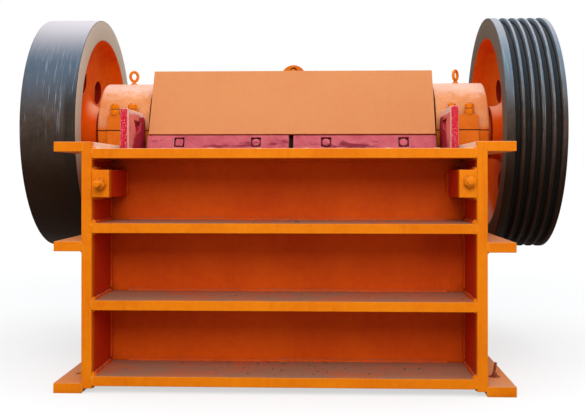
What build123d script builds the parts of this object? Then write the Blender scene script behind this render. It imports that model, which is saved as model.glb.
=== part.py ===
from build123d import *
import math
import os

# Jaw crusher with a wide mouth, in millimetres.
# X runs along the shaft, to the right as seen from the feed side.
# Y runs back from the feed side, Z is up.
# The origin is the centre of the four anchor holes, on the underside of the feet.

# Frame
PLATE_INNER = 680.0          # half the distance between the side plates
PLATE_THICK = 37.0
PLATE_BOTTOM = 17.0          # the feet reach lower than the side plates
PLATE_TOP = 894.0
PLATE_REAR_TOP = 650.0
FLANGE_REACH = 100.0         # how far flanges, ribs and feet stand out of a side plate
FLANGE_THICK = 35.0
SIDE_RIB_TOP = 539.0
FOOT_HOLE_OUT = 50.0         # anchor hole centre from the side plate's outer face
FOOT_HOLE_INSET = 163.0      # anchor hole centre from either end of the foot
FOOT_HOLE_R = 15.0
GUSSET_THICK = 30.0
GUSSET_REACH = 84.0
GUSSET_EDGE_GAP = 22.0       # from the bearing bore's outer circle to the nearest gusset

# Front of the frame
BAY_DEPTH = 285.0
WALL_THICK = 40.0
RIB_THICK = 35.0
FRONT_RIB_TOPS = {"top": 870.0, "upper": 604.0, "lower": 330.0, "bottom": 61.0}
BLOCK_WIDTH = 62.0
BLOCK_BOTTOM = 696.0
BLOCK_TOP = 794.0
BLOCK_BOLT_AT = {"left": (649.0, 743.0), "right": (660.0, 752.0)}
BLOCK_BOLT_REACH = {"left": 66.0, "right": 34.0}
BLOCK_BOLT_R = 12.5
BLOCK_BOLT_SEATED = 60.0     # length of the bolt inside its block
BLOCK_NUT_ACROSS = 36.0
BLOCK_NUT_THICK = 19.0
BLOCK_WASHER_R = 23.0
BLOCK_WASHER_THICK = 4.0

# Rear of the frame
BARREL_CLEARANCE = 60.0      # from the barrel's back to the rear wall
REAR_BAY = 200.0             # from the rear wall's front face to the end of the side plates
REAR_WALL_TOP = 790.0
REAR_WALL_BOTTOM = 120.0
REAR_RIB_INSET = 20.0        # rear rib edge from the end of the side plates
REAR_RIB_TOPS = {"upper": 640.0, "lower": 400.0}
BEAM_DEPTH = 100.0
BEAM_TOP = 430.0
BEAM_BOTTOM = 250.0

# Shaft, bearings and wheels
SHAFT_DEPTH = 1018.0         # shaft axis behind the front plane
SHAFT_Z = 974.0
THROW = 12.0                 # eccentric radius, hanging straight down at rest
JOURNAL_R = 90.0
ECCENTRIC_R = 118.0
SHAFT_END_R = 75.0
SHAFT_END_REACH = 28.0       # how far the shaft stands out of each wheel
RUNNING_GAP = 0.3            # between a shaft and what runs on it
SEAT_GAP = 0.3               # between curved faces that seat on each other
HOUSING_R = 228.0
HOUSING_INNER = 636.0
HOUSING_STANDOUT = 51.0      # from the flange's outer edge to the housing's outer end
HOUSING_CHAMFER = 27.0       # at the rim of a housing's outer end
EAR_HALF_DEPTH = 250.0       # front and rear face of the ears from the shaft axis
CAP_EAR_TOP = 1042.0
EYE_RING_R = 19.0
EYE_BAR_R = 5.5
EYE_BAR_SIDES = 6
EYE_TURN = {"left": 28.0, "right": 50.0}
EYE_NECK_R = 9.0
EYE_NECK_HEIGHT = 12.0

WHEEL_GAP = 16.0             # between a housing and the inner face of its wheel
RIM_DEPTH = 93.0
WHEEL_R = 523.0
FLYWHEEL_WIDTH = 232.0
SHEAVE_WIDTH = 248.0
HUB_R = 121.0
HUB_INSET = 18.0             # hub end from the rim's inner face
HUB_LENGTH = 190.0
WEB_THICK = 34.0
WEB_RIM_INSET = {"left": 64.0, "right": 84.0}    # web from the rim's inner face, at the rim
WEB_HUB_INSET = {"left": 92.0, "right": 104.0}   # the same at the hub, so the web is dished
WEB_HUB_CHAMFER = 56.0       # the hub flares out to the web
WEB_RIM_CHAMFER = 36.0
WEB_HOLE_R = 55.0
WEB_HOLE_CIRCLE_R = 252.0
WEB_HOLES = 6
WEB_HOLE_START = 54.0        # degrees above the horizontal, towards the rear
GROOVE_COUNT = 5
GROOVE_PITCH = 41.0
GROOVE_FIRST = 50.0          # first groove's middle from the rim's inner face
GROOVE_TOP_WIDTH = 32.0
GROOVE_ROOT_WIDTH = 17.0
GROOVE_DEPTH = 24.0

# Crushing chamber
CHEEK_INNER = 650.0          # half the width of the mouth
CHEEK_FRONT = 430.0
CHEEK_HOUSING_GAP = 7.0      # between the cheek's rear edge and the housing
CHEEK_TOP = {"left": 1045.0, "right": 1053.0}
CHEEK_BOTTOM = 190.0
CHEEK_CORNER_R = 60.0
CHEEK_LOWER_REAR = 560.0
SLOT_FRONT = 122.0           # lifting slot's front corner from the cheek's front edge
SLOT_LENGTH = 138.0
SLOT_DROP = 38.0             # lifting slot's upper edge below the cheek's top
SLOT_HEIGHT = 56.0
FIXED_JAW_BOTTOM = 150.0
FIXED_JAW_TOP = 880.0
JAW_SIDE_GAP = 25.0          # between a jaw plate and the cheek beside it
JAW_SPLIT = 20.0             # gap between the left and right jaw plates
JAW_BASE = 48.0
TOOTH_HEIGHT = 22.0
TEETH = 12
TOOTH_CREST_SHARE = 0.28     # flat crest as a share of one tooth's pitch
JAW_SEAT = 86.0              # moving jaw's top front edge to the barrel's front, along Y
JAW_TOP_Z = 948.0
JAW_BOTTOM_DEPTH = 447.0
JAW_BOTTOM_Z = 180.0
JAW_HEAD = 92.0              # flat band above the teeth
POCKET_WIDTH = 44.0
POCKET_DEPTH = 24.0
POCKET_DROP = 31.0           # pocket's middle below the jaw's top edge
POCKET_AT = (152.0, 485.0)

# Swing jaw
PITMAN_SIDE_GAP = 28.0       # between the swing jaw and a cheek
BARREL_R = 222.0
SLAB_THICK = 60.0
SLAB_RISE = 45.0             # the slab runs this far above the jaw plate
PITMAN_RIB_THICK = 36.0
PITMAN_RIBS = 5
TOE_DEPTH = 700.0            # rear face of the toe, where the toggle bears
TOE_TOP = 335.0
TOE_RISE = 230.0             # height of the toe's root up the slab
TOE_BOTTOM = 200.0
TOE_HALF_WIDTH = 560.0
COVER_LEAN = 24.7            # degrees that the cover leans back
COVER_STANDOFF = 20.5        # from the barrel to the cover's back
COVER_BELOW = 124.0          # cover's lower edge along its slope, from beside the barrel's axis
COVER_ABOVE = 196.5          # cover's upper edge, the same way
COVER_THICK = 12.0
COVER_SIDE_GAP = 24.0        # between the cover and a cheek
BRACKET_SPACING = 400.0
BRACKET_THICK = 16.0
BRACKET_HEIGHT = 240.0       # along the cover, from its lower edge
LUG_HALF_WIDTH = 57.0
LUG_THICK = 36.0
LUG_TOP = 1289.0
LUG_HOLE_R = 16.0
LUG_HOLE_DROP = 28.0

# Toggle and tension rods
ROD_LUG_THICK = 22.0         # lugs on the toe, one on each side of a rod's eye
ROD_LUG_GAP = 6.0
ROD_LUG_REACH = 100.0
ROD_LUG_HALF_HEIGHT = 40.0
TOGGLE_OPEN_GAP = 18.0       # the pivot at the toe is left open by this much
TOGGLE_THICK = 60.0
TOGGLE_LUG_GAP = 8.0         # from a rod lug at the top of its swing to the toggle
TOGGLE_RISE = 46.0           # from the toggle's front end to its rear end
TOGGLE_HALF_WIDTH = 520.0
ROD_AT = 420.0
ROD_R = 19.0
ROD_Z = 190.0
ROD_REAR = 1700.0
ROD_EYE_R = 36.0
ROD_EYE_THICK = 34.0
ROD_PIN_R = 15.0
SPRING_R = 48.0
SPRING_INNER_R = 26.0
SPRING_LENGTH = 210.0
WASHER_R = 54.0
WASHER_THICK = 16.0
NUT_ACROSS = 60.0
NUT_THICK = 34.0

PLATE_OUTER = PLATE_INNER + PLATE_THICK
FLANGE_OUTER = PLATE_OUTER + FLANGE_REACH
REAR_WALL_DEPTH = SHAFT_DEPTH + BARREL_R + BARREL_CLEARANCE
PLATE_SLOPE_START = REAR_WALL_DEPTH
FRAME_LENGTH = REAR_WALL_DEPTH + REAR_BAY
HOUSING_OUTER = FLANGE_OUTER + HOUSING_STANDOUT
WHEEL_INNER = HOUSING_OUTER + WHEEL_GAP
CHEEK_REAR = SHAFT_DEPTH - HOUSING_R - CHEEK_HOUSING_GAP
JAW_TOP_DEPTH = SHAFT_DEPTH - BARREL_R - JAW_SEAT
ROD_FRONT = TOE_DEPTH + ROD_LUG_REACH - ROD_LUG_HALF_HEIGHT
LUG_SWING_TOP = ROD_Z + ROD_LUG_HALF_HEIGHT + 2 * THROW
TOGGLE_FRONT_Z = LUG_SWING_TOP + TOGGLE_LUG_GAP + TOGGLE_THICK / 2
TOGGLE_REAR_Z = TOGGLE_FRONT_Z + TOGGLE_RISE
JAW_HALF_WIDTH = CHEEK_INNER - JAW_SIDE_GAP
PITMAN_HALF_WIDTH = CHEEK_INNER - PITMAN_SIDE_GAP
COVER_HALF_WIDTH = CHEEK_INNER - COVER_SIDE_GAP
SIDES = {"left": -1, "right": 1}


def at_depth(depth):
    """Y of a point this far behind the front plane."""
    return depth - FRAME_LENGTH / 2


SHAFT_Y = at_depth(SHAFT_DEPTH)
PITMAN_Z = SHAFT_Z - THROW


def block(x, depth, z):
    """Box between two values of X, of depth and of Z."""
    low = (min(x), at_depth(min(depth)), min(z))
    size = (abs(x[1] - x[0]), abs(depth[1] - depth[0]), abs(z[1] - z[0]))
    return Pos(*low) * Box(*size, align=(Align.MIN, Align.MIN, Align.MIN))


def profile(points, x):
    """Plate between two values of X, with its outline given as (depth, z) points."""
    outline = Polygon(*[(at_depth(d), z) for d, z in points], align=None)
    return extrude(Plane.YZ.offset(min(x)) * outline, amount=abs(x[1] - x[0]), dir=(1, 0, 0))


def rod_x(radius, x, depth, z):
    """Round bar along X."""
    middle = (x[0] + x[1]) / 2
    return Pos(middle, at_depth(depth), z) * Rot(0, 90, 0) * Cylinder(radius, abs(x[1] - x[0]))


def rod_y(radius, x, depth, z):
    """Round bar along Y."""
    middle = at_depth((depth[0] + depth[1]) / 2)
    return Pos(x, middle, z) * Rot(90, 0, 0) * Cylinder(radius, abs(depth[1] - depth[0]))


def rod_z(radius, x, y, z):
    """Upright round bar."""
    return Pos(x, y, (z[0] + z[1]) / 2) * Cylinder(radius, abs(z[1] - z[0]))


def span(side, low, high):
    """Two values of X on one side of the middle plane."""
    return tuple(sorted((SIDES[side] * low, SIDES[side] * high)))


def span_from(x, low, high):
    """Two values of X, given from another one."""
    return tuple(sorted((x + low, x + high)))


def housing_space():
    """Everything within the bearing housings' circle, with the seat's gap."""
    return rod_x(HOUSING_R + SEAT_GAP, (-HOUSING_OUTER, HOUSING_OUTER), SHAFT_DEPTH, SHAFT_Z)


def side_plate(side):
    outline = [
        (0, PLATE_BOTTOM),
        (FRAME_LENGTH, PLATE_BOTTOM),
        (FRAME_LENGTH, PLATE_REAR_TOP),
        (PLATE_SLOPE_START, PLATE_TOP),
        (0, PLATE_TOP),
    ]
    return profile(outline, span(side, PLATE_INNER, PLATE_OUTER)) - housing_space()


def top_flange(side):
    bar = block(
        span(side, PLATE_OUTER, FLANGE_OUTER),
        (0, PLATE_SLOPE_START),
        (PLATE_TOP - FLANGE_THICK, PLATE_TOP),
    )
    return bar - housing_space()


def side_rib(side):
    reach = span(side, PLATE_OUTER, FLANGE_OUTER)
    return block(reach, (0, FRAME_LENGTH), (SIDE_RIB_TOP - FLANGE_THICK, SIDE_RIB_TOP))


def foot(side):
    pad = block(span(side, PLATE_OUTER, FLANGE_OUTER), (0, FRAME_LENGTH), (0, FLANGE_THICK))
    x = SIDES[side] * (PLATE_OUTER + FOOT_HOLE_OUT)
    for depth in (FOOT_HOLE_INSET, FRAME_LENGTH - FOOT_HOLE_INSET):
        pad -= rod_z(FOOT_HOLE_R, x, at_depth(depth), (-1, FLANGE_THICK + 1))
    return pad


def side_gussets(side):
    """Upright stiffeners outside a side plate, before, below and behind the bearing."""
    reach = span(side, PLATE_OUTER, PLATE_OUTER + GUSSET_REACH)
    upper = (SIDE_RIB_TOP, PLATE_TOP - FLANGE_THICK)
    lower = (FLANGE_THICK, SIDE_RIB_TOP - FLANGE_THICK)
    clear = HOUSING_R + GUSSET_EDGE_GAP
    pieces = []
    for depth in (SHAFT_DEPTH - clear, SHAFT_DEPTH, SHAFT_DEPTH + clear):
        thickness = (depth - GUSSET_THICK / 2, depth + GUSSET_THICK / 2)
        pieces.append(block(reach, thickness, upper) - housing_space())
        pieces.append(block(reach, thickness, lower))
    return Compound(children=[piece.solids()[0] for piece in pieces])


def front_rib(top):
    return block((-PLATE_INNER, PLATE_INNER), (0, BAY_DEPTH), (top - RIB_THICK, top))


def front_wall():
    bottom = FRONT_RIB_TOPS["bottom"] - RIB_THICK
    back = BAY_DEPTH + WALL_THICK
    return block((-PLATE_INNER, PLATE_INNER), (BAY_DEPTH, back), (bottom, FRONT_RIB_TOPS["top"]))


def bolt_block(side):
    reach = span(side, PLATE_INNER - BLOCK_WIDTH, PLATE_INNER)
    x, z = BLOCK_BOLT_AT[side]
    hole = rod_y(BLOCK_BOLT_R + RUNNING_GAP, SIDES[side] * x, (-1, BLOCK_BOLT_SEATED + 1), z)
    return block(reach, (0, BAY_DEPTH), (BLOCK_BOTTOM, BLOCK_TOP)) - hole


def block_bolts():
    """Bolt, washer and nut in the front face of each block."""
    bolts = []
    for side, sign in SIDES.items():
        x, z = BLOCK_BOLT_AT[side]
        bolt = rod_y(BLOCK_BOLT_R, sign * x, (-BLOCK_BOLT_REACH[side], BLOCK_BOLT_SEATED), z)
        bolt += rod_y(BLOCK_WASHER_R, sign * x, (-BLOCK_WASHER_THICK, 0), z)
        nut = RegularPolygon(BLOCK_NUT_ACROSS / 2, 6, major_radius=False)
        seat = Plane.XZ.offset(-at_depth(-BLOCK_WASHER_THICK)) * Pos(sign * x, z) * nut
        bolt += extrude(seat, amount=BLOCK_NUT_THICK, dir=(0, -1, 0))
        bolts.append(bolt)
    return Compound(children=[bolt.solids()[0] for bolt in bolts])


def rear_wall():
    """Cross wall behind the swing jaw, with holes for the tension rods."""
    back = REAR_WALL_DEPTH + WALL_THICK
    wall = block(
        (-PLATE_INNER, PLATE_INNER), (REAR_WALL_DEPTH, back), (REAR_WALL_BOTTOM, REAR_WALL_TOP)
    )
    for sign in SIDES.values():
        wall -= rod_y(ROD_R + RUNNING_GAP, sign * ROD_AT, (REAR_WALL_DEPTH - 1, back + 1), ROD_Z)
    return wall


def rear_rib(top):
    depth = (REAR_WALL_DEPTH + WALL_THICK, FRAME_LENGTH - REAR_RIB_INSET)
    return block((-PLATE_INNER, PLATE_INNER), depth, (top - RIB_THICK, top))


def toggle_beam():
    """Rear toggle seat, a thick bar across the frame in front of the rear wall."""
    depth = (REAR_WALL_DEPTH - BEAM_DEPTH, REAR_WALL_DEPTH)
    return block((-PLATE_INNER, PLATE_INNER), depth, (BEAM_BOTTOM, BEAM_TOP))


def toggle_plate():
    """Plate between the toe and the rear seat, with rounded front and rear ends."""
    front = TOE_DEPTH + TOGGLE_OPEN_GAP + TOGGLE_THICK / 2
    rear = REAR_WALL_DEPTH - BEAM_DEPTH - TOGGLE_THICK / 2
    tilt = math.atan2(TOGGLE_REAR_Z - TOGGLE_FRONT_Z, rear - front)
    rise = (-math.sin(tilt) * TOGGLE_THICK / 2, math.cos(tilt) * TOGGLE_THICK / 2)
    outline = [
        (front + rise[0], TOGGLE_FRONT_Z + rise[1]),
        (front - rise[0], TOGGLE_FRONT_Z - rise[1]),
        (rear - rise[0], TOGGLE_REAR_Z - rise[1]),
        (rear + rise[0], TOGGLE_REAR_Z + rise[1]),
    ]
    width = (-TOGGLE_HALF_WIDTH, TOGGLE_HALF_WIDTH)
    plate = profile(outline, width)
    plate += rod_x(TOGGLE_THICK / 2, width, front, TOGGLE_FRONT_Z)
    plate += rod_x(TOGGLE_THICK / 2, width, rear, TOGGLE_REAR_Z)
    return plate


def tension_rod(side):
    """Rod with a flat eye in front, and a washer and two nuts behind its spring."""
    x = SIDES[side] * ROD_AT
    spring_end = REAR_WALL_DEPTH + WALL_THICK + SPRING_LENGTH
    rod = rod_y(ROD_R, x, (ROD_FRONT, ROD_REAR), ROD_Z)
    rod += rod_x(ROD_EYE_R, (x - ROD_EYE_THICK / 2, x + ROD_EYE_THICK / 2), ROD_FRONT, ROD_Z)
    rod += rod_y(WASHER_R, x, (spring_end, spring_end + WASHER_THICK), ROD_Z)
    nuts = RegularPolygon(NUT_ACROSS / 2, 6, major_radius=False)
    start = Plane.XZ.offset(-at_depth(spring_end + WASHER_THICK)) * Pos(x, ROD_Z) * nuts
    rod += extrude(start, amount=2 * NUT_THICK, dir=(0, 1, 0))
    return rod


def rod_spring(side):
    """Outer shape of a rod's spring, a thick tube between the rear wall and the washer."""
    start = REAR_WALL_DEPTH + WALL_THICK
    depth = (start, start + SPRING_LENGTH)
    x = SIDES[side] * ROD_AT
    return rod_y(SPRING_R, x, depth, ROD_Z) - rod_y(SPRING_INNER_R, x, depth, ROD_Z)


def housing(side):
    """Bearing housing before it is split, with its outer end chamfered."""
    whole = rod_x(HOUSING_R, span(side, HOUSING_INNER, HOUSING_OUTER), SHAFT_DEPTH, SHAFT_Z)
    outer_edge = whole.edges().filter_by(GeomType.CIRCLE).sort_by(Axis.X)[-1 if side == "right" else 0]
    return chamfer(outer_edge, HOUSING_CHAMFER)


def shaft_bore(side):
    reach = span(side, HOUSING_INNER - 1, max(HOUSING_OUTER, FLANGE_OUTER) + 1)
    return rod_x(JOURNAL_R + RUNNING_GAP, reach, SHAFT_DEPTH, SHAFT_Z)


def ears(side, z):
    """Bolting ears of a housing half, as wide as the side plate and its flange."""
    depth = (SHAFT_DEPTH - EAR_HALF_DEPTH, SHAFT_DEPTH + EAR_HALF_DEPTH)
    return block(span(side, PLATE_INNER, FLANGE_OUTER), depth, z)


def bearing_base(side):
    reach = span(side, HOUSING_INNER - 1, HOUSING_OUTER + 1)
    depth = (SHAFT_DEPTH - HOUSING_R - 1, SHAFT_DEPTH + HOUSING_R + 1)
    half = housing(side) & block(reach, depth, (SHAFT_Z - HOUSING_R - 1, SHAFT_Z))
    return half + ears(side, (PLATE_TOP, SHAFT_Z)) - shaft_bore(side)


def bearing_cap(side):
    reach = span(side, HOUSING_INNER - 1, HOUSING_OUTER + 1)
    depth = (SHAFT_DEPTH - HOUSING_R - 1, SHAFT_DEPTH + HOUSING_R + 1)
    half = housing(side) & block(reach, depth, (SHAFT_Z, SHAFT_Z + HOUSING_R + 1))
    return half + ears(side, (SHAFT_Z, CAP_EAR_TOP)) - shaft_bore(side)


def eye_bolt(side):
    """Lifting eye on top of a bearing cap, its ring a six-sided bar bent round."""
    x = SIDES[side] * (HOUSING_INNER + HOUSING_OUTER) / 2
    top = SHAFT_Z + HOUSING_R
    neck = rod_z(EYE_NECK_R, x, SHAFT_Y, (top, top + EYE_NECK_HEIGHT))
    bar = Pos(EYE_RING_R, 0) * RegularPolygon(EYE_BAR_R, EYE_BAR_SIDES, rotation=180 / EYE_BAR_SIDES)
    ring = revolve(Plane.XY * bar, axis=Axis.Y)
    upright = Pos(x, SHAFT_Y, top + EYE_NECK_HEIGHT + EYE_RING_R) * Rot(0, 0, EYE_TURN[side])
    return neck + upright * ring


def cheek_plate(side):
    """Wear plate that lines one side of the chamber and stands above the frame."""
    top = CHEEK_TOP[side]
    x = span(side, CHEEK_INNER, PLATE_INNER)
    outline = [
        (CHEEK_FRONT, CHEEK_BOTTOM),
        (CHEEK_LOWER_REAR, CHEEK_BOTTOM),
        (CHEEK_REAR, SHAFT_Z - HOUSING_R),
        (CHEEK_REAR, top),
        (CHEEK_FRONT, top),
    ]
    plate = profile(outline, x)
    corner = plate.edges().filter_by(Axis.X).sort_by(lambda e: e.center().Y + e.center().Z)[-1]
    plate = fillet(corner, CHEEK_CORNER_R)
    slot_top = top - SLOT_DROP
    slot_front = CHEEK_FRONT + SLOT_FRONT
    slot = [
        (slot_front, slot_top),
        (slot_front + SLOT_LENGTH, slot_top - 0.1 * SLOT_HEIGHT),
        (slot_front + 0.9 * SLOT_LENGTH, slot_top - 0.65 * SLOT_HEIGHT),
        (slot_front + 0.42 * SLOT_LENGTH, slot_top - SLOT_HEIGHT),
    ]
    return plate - profile(slot, span(side, CHEEK_INNER - 1, PLATE_INNER + 1))


def toothed_section(width, base, height, teeth):
    """Cross-section of a corrugated jaw plate: its back on y = 0, its crests at base + height."""
    pitch = width / teeth
    crest = pitch * TOOTH_CREST_SHARE
    flank = (pitch - 2 * crest) / 2
    points = [(0, 0), (0, base)]
    for tooth in range(teeth):
        start = tooth * pitch
        points.append((start + crest / 2, base))
        points.append((start + crest / 2 + flank, base + height))
        points.append((start + crest / 2 + flank + crest, base + height))
        points.append((start + pitch - crest / 2, base))
    points.append((width, base))
    points.append((width, 0))
    return Polygon(*points, align=None)


def fixed_jaw_plate(side):
    """Toothed plate on the front wall, teeth towards the swing jaw."""
    width = JAW_HALF_WIDTH - JAW_SPLIT / 2
    left = -JAW_HALF_WIDTH if side == "left" else JAW_SPLIT / 2
    section = toothed_section(width, JAW_BASE, TOOTH_HEIGHT, TEETH)
    start = Plane((left, at_depth(BAY_DEPTH + WALL_THICK), FIXED_JAW_BOTTOM))
    return extrude(start * section, amount=FIXED_JAW_TOP - FIXED_JAW_BOTTOM, dir=start.z_dir)


JAW_RUN = (JAW_BOTTOM_DEPTH - JAW_TOP_DEPTH, JAW_BOTTOM_Z - JAW_TOP_Z)
JAW_LENGTH = math.hypot(*JAW_RUN)
DOWN = (JAW_RUN[0] / JAW_LENGTH, JAW_RUN[1] / JAW_LENGTH)
BACK = (-DOWN[1], DOWN[0])
JAW_THICK = JAW_BASE + TOOTH_HEIGHT


def jaw_point(along, behind):
    """(depth, z) of a point down the moving jaw's face and behind it."""
    depth = JAW_TOP_DEPTH + along * DOWN[0] + behind * BACK[0]
    z = JAW_TOP_Z + along * DOWN[1] + behind * BACK[1]
    return depth, z


def moving_jaw_plate(side):
    """Toothed plate on the swing jaw, with a flat head that holds two square bolt pockets."""
    width = JAW_HALF_WIDTH - JAW_SPLIT / 2
    left = -JAW_HALF_WIDTH if side == "left" else JAW_SPLIT / 2
    back_depth, back_z = jaw_point(JAW_HEAD, JAW_THICK)
    section = toothed_section(width, JAW_BASE, TOOTH_HEIGHT, TEETH)
    start = Plane(
        origin=(left, at_depth(back_depth), back_z),
        x_dir=(1, 0, 0),
        z_dir=(0, DOWN[0], DOWN[1]),
    )
    teeth = extrude(start * section, amount=JAW_LENGTH - JAW_HEAD, dir=start.z_dir)
    head = profile(
        [jaw_point(0, 0), jaw_point(JAW_HEAD, 0), jaw_point(JAW_HEAD, JAW_THICK), jaw_point(0, JAW_THICK)],
        (left, left + width),
    )
    plate = teeth + head
    for x in POCKET_AT:
        middle = SIDES[side] * x
        low = POCKET_DROP - POCKET_WIDTH / 2
        high = POCKET_DROP + POCKET_WIDTH / 2
        pocket = [
            jaw_point(low, -1),
            jaw_point(high, -1),
            jaw_point(high, POCKET_DEPTH),
            jaw_point(low, POCKET_DEPTH),
        ]
        plate -= profile(pocket, (middle - POCKET_WIDTH / 2, middle + POCKET_WIDTH / 2))
    return plate


def rod_lugs():
    """Lugs on the toe, in pairs with a free pin hole, either side of each rod's eye."""
    depth = (TOE_DEPTH - ROD_LUG_HALF_HEIGHT, TOE_DEPTH + ROD_LUG_REACH - ROD_LUG_HALF_HEIGHT)
    near = ROD_EYE_THICK / 2 + ROD_LUG_GAP
    lugs = []
    for rod in SIDES.values():
        for face in SIDES.values():
            x = span_from(rod * ROD_AT, face * near, face * (near + ROD_LUG_THICK))
            lug = block(x, depth, (ROD_Z - ROD_LUG_HALF_HEIGHT, ROD_Z + ROD_LUG_HALF_HEIGHT))
            lug += rod_x(ROD_LUG_HALF_HEIGHT, x, depth[1], ROD_Z)
            lugs.append(lug - rod_x(ROD_PIN_R, (x[0] - 1, x[1] + 1), ROD_FRONT, ROD_Z))
    return lugs


def swing_jaw():
    """Casting that hangs on the eccentric: barrel, front slab, upright ribs and toe."""
    full = (-PITMAN_HALF_WIDTH, PITMAN_HALF_WIDTH)
    back = JAW_THICK
    slab_points = [
        jaw_point(-SLAB_RISE, back),
        jaw_point(JAW_LENGTH, back),
        jaw_point(JAW_LENGTH, back + SLAB_THICK),
        jaw_point(-SLAB_RISE, back + SLAB_THICK),
    ]
    body = rod_x(BARREL_R, full, SHAFT_DEPTH, PITMAN_Z) + profile(slab_points, full)
    toe_front = jaw_point(JAW_LENGTH, back)
    toe_points = [
        toe_front,
        (TOE_DEPTH, TOE_BOTTOM),
        (TOE_DEPTH, TOE_TOP),
        jaw_point(JAW_LENGTH - TOE_RISE, back + SLAB_THICK / 2),
    ]
    body += profile(toe_points, (-TOE_HALF_WIDTH, TOE_HALF_WIDTH))
    tangent = math.radians(-58)
    rear_point = (
        SHAFT_DEPTH + (BARREL_R - 2) * math.cos(tangent),
        PITMAN_Z + (BARREL_R - 2) * math.sin(tangent),
    )
    rib_points = [
        jaw_point(0, back + SLAB_THICK / 2),
        jaw_point(JAW_LENGTH - 40, back + SLAB_THICK / 2),
        (TOE_DEPTH - 2, TOE_TOP - 20),
        rear_point,
        (SHAFT_DEPTH, PITMAN_Z),
    ]
    step = (2 * PITMAN_HALF_WIDTH - PITMAN_RIB_THICK) / (PITMAN_RIBS - 1)
    for rib in range(PITMAN_RIBS):
        left = -PITMAN_HALF_WIDTH + rib * step
        body += profile(rib_points, (left, left + PITMAN_RIB_THICK))
    body += rod_lugs()
    bore = rod_x(
        ECCENTRIC_R + RUNNING_GAP,
        (-PITMAN_HALF_WIDTH - 1, PITMAN_HALF_WIDTH + 1),
        SHAFT_DEPTH,
        PITMAN_Z,
    )
    return body - bore


def cover_point(along, standoff):
    """(depth, z) of a point along the cover's slope, so far from the barrel's axis."""
    lean = math.radians(COVER_LEAN)
    depth = SHAFT_DEPTH + along * math.sin(lean) - standoff * math.cos(lean)
    z = PITMAN_Z + along * math.cos(lean) + standoff * math.sin(lean)
    return depth, z


def jaw_cover():
    """Flat guard plate that leans back in front of the barrel, on three brackets."""
    back = BARREL_R + COVER_STANDOFF
    front = back + COVER_THICK
    full = (-COVER_HALF_WIDTH, COVER_HALF_WIDTH)
    outline = [
        cover_point(-COVER_BELOW, front),
        cover_point(COVER_ABOVE, front),
        cover_point(COVER_ABOVE, back),
        cover_point(-COVER_BELOW, back),
    ]
    cover = profile(outline, full)
    bracket_points = [
        cover_point(-COVER_BELOW, back),
        cover_point(BRACKET_HEIGHT - COVER_BELOW, back),
        (SHAFT_DEPTH, PITMAN_Z + BARREL_R),
        (SHAFT_DEPTH, PITMAN_Z),
    ]
    barrel = rod_x(BARREL_R + SEAT_GAP, full, SHAFT_DEPTH, PITMAN_Z)
    slab_front = 1 + SLAB_RISE
    slab_behind = 400
    slab = profile(
        [
            jaw_point(-slab_front, 0),
            jaw_point(slab_front, 0),
            jaw_point(slab_front, slab_behind),
            jaw_point(-slab_front, slab_behind),
        ],
        full,
    )
    for x in (-BRACKET_SPACING, 0, BRACKET_SPACING):
        width = (x - BRACKET_THICK / 2, x + BRACKET_THICK / 2)
        bracket = profile(bracket_points, width) - barrel - slab
        cover += bracket.solids().sort_by(Axis.Y)[0]
    return cover


def lifting_lug():
    """Round-topped plate on the barrel, with its hole facing the feed side."""
    hole_z = LUG_TOP - LUG_HOLE_DROP
    round_z = LUG_TOP - LUG_HALF_WIDTH
    depth = (SHAFT_DEPTH - LUG_THICK / 2, SHAFT_DEPTH + LUG_THICK / 2)
    lug = block((-LUG_HALF_WIDTH, LUG_HALF_WIDTH), depth, (PITMAN_Z, round_z))
    lug += rod_y(LUG_HALF_WIDTH, 0, depth, round_z)
    lug -= rod_y(LUG_HOLE_R, 0, (depth[0] - 1, depth[1] + 1), hole_z)
    barrel = rod_x(BARREL_R + SEAT_GAP, (-LUG_HALF_WIDTH - 1, LUG_HALF_WIDTH + 1), SHAFT_DEPTH, PITMAN_Z)
    return lug - barrel


def eccentric_shaft():
    """Shaft with two journals, the eccentric between them and an end for each wheel."""
    left_end = -(WHEEL_INNER + FLYWHEEL_WIDTH + SHAFT_END_REACH)
    right_end = WHEEL_INNER + SHEAVE_WIDTH + SHAFT_END_REACH
    shaft = rod_x(SHAFT_END_R, (left_end, right_end), SHAFT_DEPTH, SHAFT_Z)
    journal = WHEEL_INNER + HUB_INSET
    shaft += rod_x(JOURNAL_R, (-journal, journal), SHAFT_DEPTH, SHAFT_Z)
    middle = HOUSING_INNER - 2
    return shaft + rod_x(ECCENTRIC_R, (-middle, middle), SHAFT_DEPTH, PITMAN_Z)


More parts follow.
